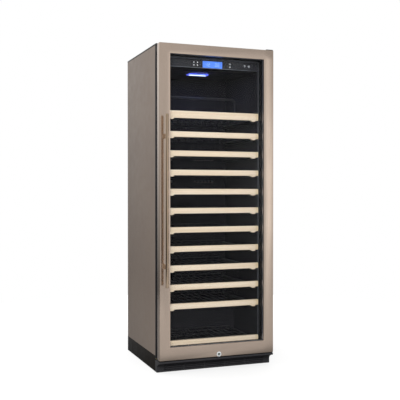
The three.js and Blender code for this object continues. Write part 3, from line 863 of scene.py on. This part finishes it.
def fan_rotor(joint, body, radius, hub, depth, name):
    """Seven cambered blades on a domed hub."""
    cx, cy, cz = joint_place(joint)
    front, back, dome = cy - depth / 2, cy + depth / 2, 3
    profile = [(0, back), (hub, back)]
    for angle in range(0, 90, 15):
        turn = math.radians(angle)
        profile.append((hub * math.cos(turn), front + dome - dome * math.sin(turn)))
    rotor = Shape().lathe([*profile, (0, front)], "y", cx, cz)
    blades, spans, chords, overlap = 7, 6, 6, 2
    for blade in range(blades):
        part = bmesh.new()
        rows = []
        for step in range(spans + 1):
            share = step / spans
            reach = hub - overlap + (radius - 0.6 - hub + overlap) * share
            width = math.radians(40 - 6 * share)
            row = []
            for chord in range(chords + 1):
                along = chord / chords - 0.5
                angle = blade * 2 * math.pi / blades + along * width + share * 0.25
                lift = along * 13 * (1 - 0.25 * share) + 2.4 * (0.25 - along**2)
                spot = (cx + reach * math.cos(angle), cy + lift, cz + reach * math.sin(angle))
                row.append(part.verts.new(spot))
            rows.append(row)
        for lower, upper in zip(rows, rows[1:]):
            join_loops(part, lower, upper, closed=False)
        bmesh.ops.recalc_face_normals(part, faces=part.faces[:])
        thicken(part, 1.4)
        rotor.take(part)
    rotor.piece(name, body, "black_plastic", BLACK_PLASTIC, [body])


def evaporator():
    x, y, z = span("evaporator")
    coil = Shape()
    fins(coil, grown(x, -10), grown(y, -1), z, 64, 0.6)
    coil.paint(1).tube(serpentine(x, middle(y), z, 12), 4.0)
    coil.piece("evaporator_coil", "cabinet", "coil_metal", [FIN_METAL, COPPER], ["evaporator"])


def fins(shape, x, y, z, count, thickness):
    """A row of thin upright fins across x."""
    for index in range(count):
        left = x[0] + index * (x[1] - x[0] - thickness) / (count - 1)
        shape.block((left, left + thickness), y, z, 0)


def serpentine(x, y, z, passes):
    """A tube route that runs to and fro across x, rising between passes with round bends."""
    bend = (z[1] - z[0] - 20) / (passes - 1) / 2
    near, far = grown(x, -bend)
    points = []
    for index in range(passes):
        height = z[0] + 10 + index * 2 * bend
        side = 1 if index % 2 == 0 else -1
        start, turn = (near, far) if side > 0 else (far, near)
        points.append((start, y, height))
        if index < passes - 1:
            points += [(turn + side * b * 0.9, y, height + bend + a)
                       for b, a in arc((0, 0), bend, -90, 90, 6)]
        else:
            points.append((turn, y, height))
    return points


# ---- controls and lamp ---------------------------------------------------------------------------


def control_panel():
    """A box behind a flat touch panel, with light metal strips above and below that paint the highlights of
    its top and bottom edges, and a lit display.
    """
    x, y, z = span("control_housing")
    lcd_x, lcd_y, lcd_z = span("display_lens")
    window = (grown(lcd_x, CLEARANCE), grown(lcd_z, CLEARANCE))
    housing = from_node("control_housing", 1.2)
    housing.piece("control_box", "cabinet", "black_plastic", BLACK_PLASTIC, ["control_housing"])
    face = (z[0] + 2.4, z[1] - 3.2)
    overlay = Shape().plate(grown(x, -2), (y[0] - 0.8, y[0]), face, [window], 0.25)
    overlay.piece("touch_panel", "cabinet", "black_plastic", OVERLAY)
    # The light metal strips above and below the touch panel paint the highlights along its top and bottom
    # edges.
    highlight_trim = Shape()
    for strip in ((z[0] + 0.2, z[0] + 2.2), (z[1] - 3.0, z[1] - 1.2)):
        highlight_trim.block(grown(x, -1), (y[0] - 1.2, y[0] + 0.5), strip, 0.4)
    highlight_trim.piece("panel_trim", "cabinet", "black_plastic", PANEL_TRIM)
    screen = Shape().block(lcd_x, (y[0] - 0.5, lcd_y[1]), lcd_z, 0.3)
    screen.piece("lcd_screen", "cabinet", "display", LCD, ["display_lens"])
    marks = Shape()
    for left, digits in ((-36, "12"), (14, "08")):
        for place, digit in enumerate(digits):
            seven_segments(marks, left + place * 13, lcd_z[0] + 8, y[0] - 0.75, digit)
    marks.piece("lcd_digits", "cabinet", "display", LCD_MARK)


def seven_segments(shape, x, z, y, digit):
    """One generic numeral of a temperature reading."""
    width, height, stroke = 8.0, 17.0, 1.3
    lit = {"0": "abcdef", "1": "bc", "2": "abged", "8": "abcdefg"}[digit]
    half = height / 2
    across, left, right = (0, width), (0, stroke), (width - stroke, width)
    lower, upper = (0, half), (half, height)
    bars = {
        "a": (across, (height - stroke, height)), "d": (across, (0, stroke)),
        "g": (across, (half - stroke / 2, half + stroke / 2)),
        "b": (right, upper), "c": (right, lower), "e": (left, lower), "f": (left, upper),
    }
    for letter in lit:
        (x0, x1), (z0, z1) = bars[letter]
        shape.block((x + x0 + 0.2, x + x1 - 0.2), (y, y + 0.4), (z + z0 + 0.2, z + z1 - 0.2), 0.1, 1)


def touch_symbols():
    """Printed touch marks: arrows for up and down, two rings, a lamp and a power sign."""
    y = span("control_housing")[1][0] - 0.8
    lower, upper = 1489, 1504
    symbols = Shape()
    for x in (-98, -79):
        for z, way in ((upper, 1), (lower, -1)):
            arrow = [(x - 3, z - way * 2.5), (x + 3, z - way * 2.5), (x, z + way * 3)]
            symbols.prism(arrow, "y", y - 0.15, y)
    for z in (lower, upper):
        symbols.tube([(a, y, b) for a, b in arc((93, z), 2.6, 0, 360, 16)[:-1]], 0.7, 6, closed=True)
    lamp_x, power_x, z = 173, 196, 1498
    symbols.tube([(a, y, b) for a, b in arc((lamp_x, z + 2), 3, -50, 230, 14)], 0.7, 6)
    symbols.block((lamp_x - 1.4, lamp_x + 1.4), (y - 0.5, y + 0.1), (z - 3.6, z - 1.6), 0.2)
    symbols.tube([(a, y, b) for a, b in arc((power_x, z), 4.2, 120, 420, 18)], 0.8, 6)
    symbols.block((power_x - 0.7, power_x + 0.7), (y - 0.5, y + 0.1), (z + 0.6, z + 5.4), 0.2)
    symbols.piece("touch_symbols", "cabinet", "display", SYMBOL)


def lamp():
    """The ceiling lamp: a lens with sloped edges, its LED strip and a bezel."""
    x, y, z = span("lamp_lens")
    slope, rim = 5, 5
    lens = [(y[0], z[1]), (y[0], z[0] + 3), (y[0] + slope, z[0]), (y[1] - slope, z[0]), (y[1], z[0] + 3),
            (y[1], z[1])]
    cover = Shape().prism(lens, "x", *x, 1.2, 3)
    cover.piece("lamp_cover", "cabinet", "lamp", LAMP, ["lamp_lens"])
    strip = Shape().block(grown(x, -8), grown(y, -14), (z[0] - 0.6, z[0] + 0.4), 0.4)
    strip.piece("lamp_strip", "cabinet", "lamp", LED_STRIP)
    bezel = Shape()
    height = (z[1] - 2.2, z[1])
    for depth in ((y[0] - rim, y[0] - 0.3), (y[1] + 0.3, y[1] + rim)):
        bezel.block(grown(x, rim), depth, height, 0.6)
    for width in ((x[0] - rim, x[0] - 0.3), (x[1] + 0.3, x[1] + rim)):
        bezel.block(width, y, height, 0.6)
    bezel.piece("lamp_bezel", "cabinet", "dark_liner", LINER_PLASTIC)


# ---- base and machine compartment ----------------------------------------------------------------


def cove(z):
    """How far back the plinth's face is at a height, between its kick face and its lip."""
    foot, lip = 28, 52
    if z <= foot:
        return 45.0
    if z >= lip:
        return 2.0
    t = (32 - math.sqrt(1024 - 32 * (z - foot))) / 16
    return (1 - t) ** 2 * 45 + 2 * t * (1 - t) * 40 + t**2 * 2


def plinth():
    """A louvred sheet that curves out under the door, between two solid end blocks.

    A slot in its top lets the lock's cam swing down.
    """
    x, y, z = span("plinth_grille")
    end_block, columns_of_slots, web = 28, 5, 7
    slot_rows = [(low, low + 4.5) for low in (11, 20, 29, 38)]
    inner = x[1] - end_block
    lock_x = joint_place("lock_turn")[0]
    cam_slot_x, cam_slot_y = (lock_x - 8, lock_x + 17), (40, 47)
    width = (2 * (inner - 6) - (columns_of_slots - 1) * web) / columns_of_slots
    lefts = [6 - inner + n * (width + web) for n in range(columns_of_slots)]
    slots = [(left, left + width) for left in lefts]
    heights = sorted({z[0], 28, 46, 48, 50, 51, 52, z[1], *(v for row in slot_rows for v in row)})
    line = [(cove(height), height) for height in heights]
    line += [(cam_slot_y[0], z[1]), (cam_slot_y[1], z[1]), (y[1], z[1])]
    columns = sorted({-inner, inner, *cam_slot_x, *(v for slot in slots for v in slot)})
    part = bmesh.new()
    grid = [[part.verts.new((column, *place)) for column in columns] for place in line]
    for row in range(len(line) - 1):
        level = (line[row][1] + line[row + 1][1]) / 2
        for column in range(len(columns) - 1):
            across = (columns[column] + columns[column + 1]) / 2
            slotted = any(a < level < b for a, b in slot_rows) and any(a < across < b for a, b in slots)
            over_cam = line[row][0] == cam_slot_y[0] and cam_slot_x[0] < across < cam_slot_x[1]
            if not slotted and not over_cam:
                part.faces.new([grid[row][column], grid[row][column + 1],
                                grid[row + 1][column + 1], grid[row + 1][column]])
    face_outwards(part, 1, -1)
    thicken(part, 3.0)
    round_edges(part, sharp_edges(part, 60), 0.5, 2)
    face = Shape().take(part)
    steps = (z[0], 20, 28, 33, 38, 42, 45, 47, 49, 50, 51, 52)
    outline = [(y[1], z[0]), *[(cove(step), step) for step in steps], (2, z[1]), (y[1], z[1])]
    for side in (-1, 1):
        face.prism(outline, "x", *mirrored(side, inner, x[1]), 0.9)
    for low, high in slot_rows:
        depth = cove((low + high) / 2) + 3
        blade = [(depth, low - 1), (depth + 1.4, low - 1.4), (depth + 9, high + 1),
                 (depth + 7.6, high + 1.4)]
        for left, right in slots:
            face.prism(blade, "x", left - 2, right + 2)
    face.piece("plinth", "cabinet", "black_plastic", PLINTH_PLASTIC, ["plinth_grille"], sharp=30)


def base_tray():
    tray = from_node("base_pan", 0.7)
    tray.piece("base_tray", "cabinet", "black_sheet", SKIRT_PAINT, ["base_pan"])


def feet():
    """Levelling feet: a rubber pad under a nut and a threaded stud."""
    pad_top, nut_top, pitch = 8.5, 14.5, 1.5
    for corner in ("front_left", "front_right", "rear_left", "rear_right"):
        x, y, z = span(f"foot_{corner}")
        cx, cy = middle(x), middle(y)
        pad = (x[1] - x[0]) / 2
        edge = arc((pad - 1.5, 2.5), 1.5, 0, 90, 4)
        foot = Shape()
        foot.lathe([(0, 0.2), (pad - 2, 0.2), (pad - 2, 0), (pad, 0), *edge, (11, pad_top), (0, pad_top)],
                   "z", cx, cy, 40)
        foot.paint(1).prism(arc((cx, cy), 9.2, 30, 330, 5), "z", pad_top, nut_top, 0.6)
        thread = []
        height = nut_top
        while height < z[1] - 2:
            thread += [(5.0, height), (4.3, height + pitch / 2)]
            height += pitch
        stud = [(0, nut_top - 0.5), (4.3, nut_top - 0.5), *thread, (4.0, z[1]), (0, z[1])]
        foot.lathe(stud, "z", cx, cy, 20)
        foot.piece(f"leveller_{corner}", "cabinet", "black_rubber", [RUBBER, GALVANISED], [f"foot_{corner}"])


def hinge_brackets():
    for level in ("lower", "upper"):
        node = f"hinge_bracket_{level}"
        _, y, z = span(node)
        bracket = from_node(node, 0.5)
        heights = (z[1] - 5, z[1] - 13) if level == "lower" else (z[0] + 5, z[0] + 14)
        for height in heights:
            for x in (270, 289):
                screw_head(bracket, "y", x, height, y[1] - 2.5, -1, 3.0)
        bracket.piece(f"hinge_plate_{level}", "cabinet", "black_sheet", BLACK_PAINT, [node])


def compressor():
    """A welded steel shell on a base plate with rubber grommets, and its terminal box."""
    x, y, z = span("compressor")
    half_width = 75
    cx, cy, foot = x[1] - half_width, middle(y), z[0] + 9.2
    body = Shape()
    shell = [(0, 0), (50, 0), (62, 5), (69, 15), (73, 32), (74, 60), (76.5, 61), (76.5, 66), (74, 67),
             (73.5, 98), (70, 116), (62, 132), (49, 145), (28, 154), (0, 158)]
    body.lathe([(r, foot + h) for r, h in shell], "z", cx, cy, 56)
    plate_x, plate_top = (cx - half_width, x[1]), z[0] + 3
    body.prism(rounded(plate_x, y, 16), "z", z[0], plate_top, 0.6)
    cradle = rounded((cx - 55, cx + 55), (cy - 45, cy + 47), 20)
    body.prism(cradle, "z", plate_top, foot + 4, 1.5)
    body.block((x[0], x[0] + 30), (cy - 25, cy + 25), (75, 125), 3.0, 3)
    body.piece("compressor_shell", "cabinet", "black_sheet", BLACK_PAINT, ["compressor"])
    grommets = Shape()
    profile = [(0, 0), (9, 0), (9, 3), (7, 4.5), (9, 6), (8, 9), (3, 9), (3, 11), (0, 11)]
    for a in grown(plate_x, -15):
        for b in grown(y, -15):
            grommets.lathe([(r, plate_top + h) for r, h in profile], "z", a, b, 20)
    grommets.piece("compressor_grommets", "cabinet", "black_rubber", RUBBER)


def pipework():
    """Suction, discharge and capillary pipes between the compressor, the condenser and the foam."""
    pipes = Shape()
    suction = [(175, 450, 186), (175, 450, 204), (178, 456, 212), (190, 480, 215), (206, 520, 214),
               (220, 556, 214), (236, 566, 216), (240, 566, 224), (240, 566, 231)]
    discharge = [(128, 480, 184), (128, 480, 196), (122, 480, 204), (90, 490, 207), (20, 524, 204),
                 (-30, 532, 200), (-52, 528, 196), (-56, 512, 194), (-62, 500, 194)]
    lower = [(-62, 486, 44), (-50, 500, 44), (-38, 540, 50), (-34, 560, 66), (-34, 560, 92)]
    for route, radius in ((suction, 4.2), (discharge, 3.2), (lower, 3.0)):
        pipes.tube(smooth(route), radius, 12)
    drier_x, drier_y = -34, 560
    drier = [(0, 90), (3, 90), (3, 96), (9, 102), (9, 150), (3, 158), (3, 164), (0, 164)]
    pipes.lathe(drier, "z", drier_x, drier_y, 24)
    turns, steps, rise = 4, 24, 3.4
    circle = arc((drier_x, drier_y), 14, 0, 360 * turns, turns * steps)
    coil = [(a, b, 172 + step * rise / steps) for step, (a, b) in enumerate(circle)]
    start, end = [(-34, 560, 162), (-28, 560, 168)], [(-20, 562, 200), (-20, 566, 231)]
    pipes.tube([*start, *coil, *end], 1.3, 8)
    pipes.piece("copper_pipes", "cabinet", "coil_metal", COPPER)


def smooth(points, steps=5):
    """A Catmull-Rom curve through the points."""
    spots = [Vector(p) for p in points]
    spots = [spots[0] * 2 - spots[1], *spots, spots[-1] * 2 - spots[-2]]
    line = []
    for a, b, c, d in zip(spots, spots[1:], spots[2:], spots[3:]):
        for step in range(steps):
            t = step / steps
            line.append(0.5 * (b * 2 + (c - a) * t + (a * 2 - b * 5 + c * 4 - d) * t**2
                               + (b * 3 - a - c * 3 + d) * t**3))
    return [*line, spots[-2]]


def condenser():
    """A finned coil behind a shroud, whose collar and spokes hold the fan."""
    x, y, z = span("condenser")
    cx, _, cz = joint_place("condenser_fan_spin")
    plate, plate_foot = (444, 453), 34
    coil = Shape()
    fins(coil, grown(x, -8), (plate[1], y[1]), (plate_foot, z[1]), 46, 0.8)
    coil.paint(1)
    for depth in (470, 500):
        coil.tube(serpentine(x, depth, (36, z[1] - 4), 8), 3.4)
    coil.piece("condenser_coil", "cabinet", "coil_metal", [FIN_METAL, COPPER], ["condenser"])
    shroud = Shape().block(x, plate, (32, z[1]), 0.8)
    shroud.subtract(Shape().disc(75, 430, 460, "y", cx, cz, 56))
    inner, outer, front, back = 74.2, 78, y[0], 446
    collar = [(inner, front + 1), (inner + 1, front), (outer + 2, front), (outer + 2, front + 3),
              (outer, front + 4), (outer, back), (inner, back), (inner, front + 1)]
    shroud.lathe(collar, "y", cx, cz, 56)
    shroud.lathe([(0, 441), (16, 441), (18, 443), (18, 450), (0, 450)], "y", cx, cz)
    spokes(shroud, (cx, 447, cz), 15, 77, 2.4, 0)
    shroud.block(x, (plate[0], y[1]), (z[0], plate_foot), 0.8)
    shroud.piece("condenser_shroud", "cabinet", "black_plastic", BLACK_PLASTIC)


def rear_grille():
    """A removable panel with hooded air slots and a hole for the cord's gland."""
    x, y, z = span("rear_grille")
    gland_x, _, gland_z = (middle(side) for side in span("cord_gland"))
    slots = [((left + 8, left + 146), (height, height + 8))
             for height in range(70, 200, 24) for left in range(-231, 230, 154)]
    panel = Shape().plate(x, y, z, slots, 0.3)
    panel.subtract(Shape().disc(9.3, y[0] - 3, y[1] + 3, "y", gland_x, gland_z))
    for (left, right), (low, high) in slots:
        hood = [(y[1] - 0.5, high), (y[1] + 2.6, low + 3), (y[1] + 3.0, low + 4.2), (y[1] - 0.5, high + 1.6)]
        panel.prism(hood, "x", left, right, 0.2, 1)
    for screw_x in grown(x, -12):
        for height in grown(z, -12):
            screw_head(panel, "y", screw_x, height, y[1], 1, 3.2)
    panel.piece("rear_louvre", "cabinet", "black_sheet", BLACK_PAINT, ["rear_grille"])


def cord_gland():
    """A rubber grommet with a flange on either side of the rear grille."""
    x, y, z = span("cord_gland")
    rim, neck, bore = (x[1] - x[0]) / 2, 9, 4
    inside, outside = grown(span("rear_grille")[1], CLEARANCE)
    profile = [(bore, y[0]), (rim - 1, y[0]), (rim, y[0] + 1), (rim, inside), (neck, inside),
               (neck, outside), (rim, outside), (rim - 0.3, y[1] - 1.6), (rim - 2, y[1] - 0.4),
               (bore + 2, y[1]), (bore, y[1] - 1), (bore, y[0])]
    gland = Shape().lathe(profile, "y", middle(x), middle(z), 36)
    gland.piece("mains_grommet", "cabinet", "black_rubber", RUBBER, ["cord_gland"])


# ---- shelves -------------------------------------------------------------------------------------


def shelf_board(number):
    """A beech board between the ends of its side rails, with a chamfered lug under each end."""
    x, y, z = span(f"shelf_fascia_{number}")
    base = z[0] + LUG_DROP
    lug_inner, lug_outer, gap = 203, 229, 0.7
    ends = (-lug_outer, lug_outer)
    board = Shape().block(ends, y, (base, z[1]), 1.4, 4)
    board.block(grown(ends, 3), grown(y, -2), (base + 2, z[1] - 2), 0.5)
    for side in (-1, 1):
        lug = [(lug_inner, base + 2), (lug_inner, base), (lug_inner + LUG_DROP, z[0]),
               (lug_outer - LUG_DROP, z[0]), (lug_outer, base), (lug_outer, base + 2)]
        board.prism([(side * a, b) for a, b in lug], "y", y[0] + 0.4, y[1], 0.7)
        rail = mirrored(side, lug_outer + gap, x[1])
        board.paint(1).block(rail, y, (base, z[1]), 1.4, 4).paint(0)
    node_name = f"shelf_fascia_{number}"
    board.piece(f"shelf_board_{number}", f"shelf_{number}", "beech", [BEECH, BEECH_END], [node_name])


def shelf_rack(number):
    """A welded rack: side runners, pairs of cross rods, and two long wires under each bottle."""
    x, y, _ = span(f"shelf_rack_{number}")
    base = shelf_base(number)
    top, wire = base + RUNNER_TOP, 1.9
    rack = Shape()
    for side in (-1, 1):
        rack.block(mirrored(side, x[1] - 10, x[1]), y, (base + RUNNER_BOTTOM, top), 1.4, 3)
    bars = 4 if number == SHELVES[-1] else 5
    left, right = grown(x, -4)
    for index in range(bars):
        depth = y[0] + 6 + index * (y[1] - y[0] - 12) / (bars - 1)
        for spot in (depth - 3.6, depth + 3.6):
            rack.tube([(left, spot, base + 6.4), (right, spot, base + 6.4)], 2.3)
    pitch, lift = (x[1] - x[0] - 24) / 6, top - wire
    near, far = grown(y, -wire)
    for bottle in range(6):
        centre = x[0] + 12 + pitch * (bottle + 0.5)
        for a in (centre - 17, centre + 17):
            line = [(a, near, base + 5), (a, near, lift), (a, far, lift), (a, far, lift + 11)]
            rack.tube(fillet(line, 4, closed=False), wire, 8)
    left, right = grown(x, -22)
    rack.tube([(left, far, top + 10), (right, far, top + 10)], wire, 8)
    node_name = f"shelf_rack_{number}"
    rack.piece(f"shelf_wires_{number}", f"shelf_{number}", "black_wire", BLACK_WIRE, [node_name])


def neck_rest():
    """The raised bar of the display shelf, which holds the bottles' necks up."""
    x, _, z = span("shelf_rack_01")
    depth, foot, top = 322, shelf_base("01") + 9, z[1] - 6
    left, right = grown(x, -7)
    route = [(left, depth, foot), (left, depth, top), (right, depth, top), (right, depth, foot)]
    bar = Shape().tube(fillet(route, 16, 6, closed=False), 5.2, 16)
    for end in (left, right):
        bar.tube([(end, depth + 60, foot), (end, depth + 4, foot + 61)], 2.6)
    bar.piece("neck_rest", "shelf_01", "black_wire", BLACK_WIRE)


# ---- stage ---------------------------------------------------------------------------------------


def floor():
    """A round pale floor that glows for camera rays, more with distance, so that it fades into the white
    backdrop away from the object. In front of the object it also glows for reflected rays only, a painted
    reflection.
    """
    part = Shape().disc(2400, -0.05, -20, "z", 0, -FRONT_Y / MM, 96)
    material, tree, shader = graph("pale_floor", Base_Color=(0.2, 0.2, 0.2, 1), Roughness=0.8)
    places = node(tree, "TexCoord").outputs["Object"]
    distance = node(tree, "VectorMath", {0: places}, operation="LENGTH").outputs["Value"]
    depth = node(tree, "SeparateXYZ", {0: places}).outputs["Y"]
    rays = node(tree, "LightPath").outputs
    fade = calculate(tree, "MULTIPLY", remap(tree, distance, 0.78, 1.0, 0.3, 1.5), rays["Is Camera Ray"])
    # Painted reflection: a glow in front of the object that only reflected rays see.
    in_front = calculate(tree, "MULTIPLY", ramp(tree, depth, -0.6, -0.35, 0.28, 0.0), rays["Is Glossy Ray"])
    feed(tree, shader, {"Emission Color": (1, 1, 1, 1),
                        "Emission Strength": calculate(tree, "ADD", fade, in_front)})
    part.make("floor", material)


def band(tree, value, centre, full, empty):
    """1 where value is within full of centre, falling smoothly to 0 at empty."""
    away = calculate(tree, "ABSOLUTE", calculate(tree, "SUBTRACT", value, centre))
    return ramp(tree, away, full, empty, 1.0, 0.0)


def between(tree, share, first, second):
    """The first number where share is 0, the second where it is 1, and a mixture in between."""
    rest = calculate(tree, "SUBTRACT", 1.0, share)
    return calculate(tree, "ADD", calculate(tree, "MULTIPLY", first, rest),
                     calculate(tree, "MULTIPLY", second, share))


def world():
    """White behind the object. Its light is a soft grey room with one broad glow at the front right."""
    made = bpy.data.worlds.new("studio")
    bpy.context.scene.world = made
    made.use_nodes = True
    tree = made.node_tree
    direction = node(tree, "TexCoord").outputs["Generated"]
    x, y, z = node(tree, "SeparateXYZ", {"Vector": direction}).outputs
    bearing = calculate(tree, "ARCTAN2", x, calculate(tree, "MULTIPLY", y, -1.0))
    upper_right = calculate(tree, "MULTIPLY", ramp(tree, bearing, 0.38, 0.47, 0.0, 0.17),
                            ramp(tree, z, 0.0, 0.16, 0.0, 1.0))
    right = calculate(tree, "SUBTRACT", ramp(tree, z, -0.3, 0.2, 0.42, 0.6), upper_right)
    left = ramp(tree, z, -0.1, 0.6, 0.04, 0.7)
    front = between(tree, ramp(tree, x, -0.35, -0.85, 0.0, 1.0), right, left)
    behind = ramp(tree, z, -0.22, 0.26, 0.05, 0.85)
    room = between(tree, ramp(tree, y, -0.1, 0.4, 0.0, 1.0), front, behind)
    spot = calculate(tree, "MULTIPLY", band(tree, bearing, 0.52, 0.07, 0.15),
                     band(tree, z, 0.035, 0.02, 0.17))
    strength = calculate(tree, "ADD", room, calculate(tree, "MULTIPLY", spot, 0.78))
    studio = tree.nodes["Background"]
    white = (1, 1, 1, 1)
    feed(tree, studio, {"Color": white, "Strength": strength})
    backdrop = node(tree, "Background", {"Color": white})
    seen = node(tree, "LightPath").outputs["Is Camera Ray"]
    choose = node(tree, "MixShader", {0: seen, 1: studio.outputs[0], 2: backdrop.outputs[0]})
    feed(tree, tree.nodes["World Output"], {"Surface": choose.outputs[0]})


def softbox(name, place, target, width, height, power, tint=(1, 1, 1)):
    """A rectangular lamp that lights the object without showing in its reflections."""
    light = bpy.data.lights.new(name, "AREA")
    light.shape = "RECTANGLE"
    light.size, light.size_y = width, height
    light.energy = power
    light.color = tint
    made = bpy.data.objects.new(name, light)
    bpy.context.scene.collection.objects.link(made)
    made.location = place
    made.rotation_euler = (Vector(target) - Vector(place)).to_track_quat("-Z", "Y").to_euler()
    made.visible_glossy = False


def lights():
    softbox("key", (-1.2, -3.9, 1.95), (0, 0, 0.7), 2.2, 2.2, 165)
    softbox("side", (-2.4, 0.4, 3.0), (-0.3, 0, 1.0), 1.5, 1.5, 34)
    x, y, z = span("lamp_lens")
    up = Vector((0, 0, 1))
    below = Vector((middle(x) * MM, middle(y) * MM + FRONT_Y, (z[0] - 3) * MM))
    softbox("lamp_glow", below, below - up, 0.1, 0.03, 0.5, (0.25, 0.35, 1.0))
    before = Vector((middle(x) * MM, (y[0] - 22) * MM + FRONT_Y, (z[0] - 1) * MM))
    softbox("ceiling_glow", before, before + up, 0.09, 0.01, 0.2, (0.2, 0.25, 1.0))


def camera():
    """Stands at the photograph's viewing angle, a little left of the middle and below half height."""
    turn, dip = 0.358, 0.012
    made = bpy.data.objects.new("camera", bpy.data.cameras.new("camera"))
    bpy.context.scene.collection.objects.link(made)
    bpy.context.scene.camera = made
    made.location = (-1.3191, -3.5403, 0.8709)
    aim = Vector((math.sin(turn) * math.cos(dip), math.cos(turn) * math.cos(dip), -math.sin(dip)))
    made.rotation_euler = aim.to_track_quat("-Z", "Y").to_euler()
    made.data.sensor_width = 36
    made.data.lens = 65.417


def kept_nodes():
    """The CAD nodes that stay, with their new materials."""
    kept = {"outer_glass": OUTER_GLASS, "inner_glass": INNER_GLASS, "insulation_foam": FOAM}
    for name, material in kept.items():
        materials = frame["nodes"][name].data.materials
        materials.clear()
        materials.append(material)


door_skin()
handle()
door_lock()
door_gasket()
door_inner_frame()
side_panels()
top_cover()
front_surround()
back_sheet()
inner_liner()
duct_cover()
fan_rotor("circulation_fan_spin", "circulation_fan", 58, 17, 18, "circulation_rotor")
fan_rotor("condenser_fan_spin", "condenser_fan", 70, 20, 22, "condenser_rotor")
evaporator()
control_panel()
touch_symbols()
lamp()
plinth()
base_tray()
feet()
hinge_brackets()
compressor()
pipework()
condenser()
rear_grille()
cord_gland()
for shelf_number in SHELVES:
    shelf_board(shelf_number)
    shelf_rack(shelf_number)
neck_rest()
kept_nodes()
floor()
world()
lights()
camera()
bpy.context.scene.view_settings.view_transform = "Standard"
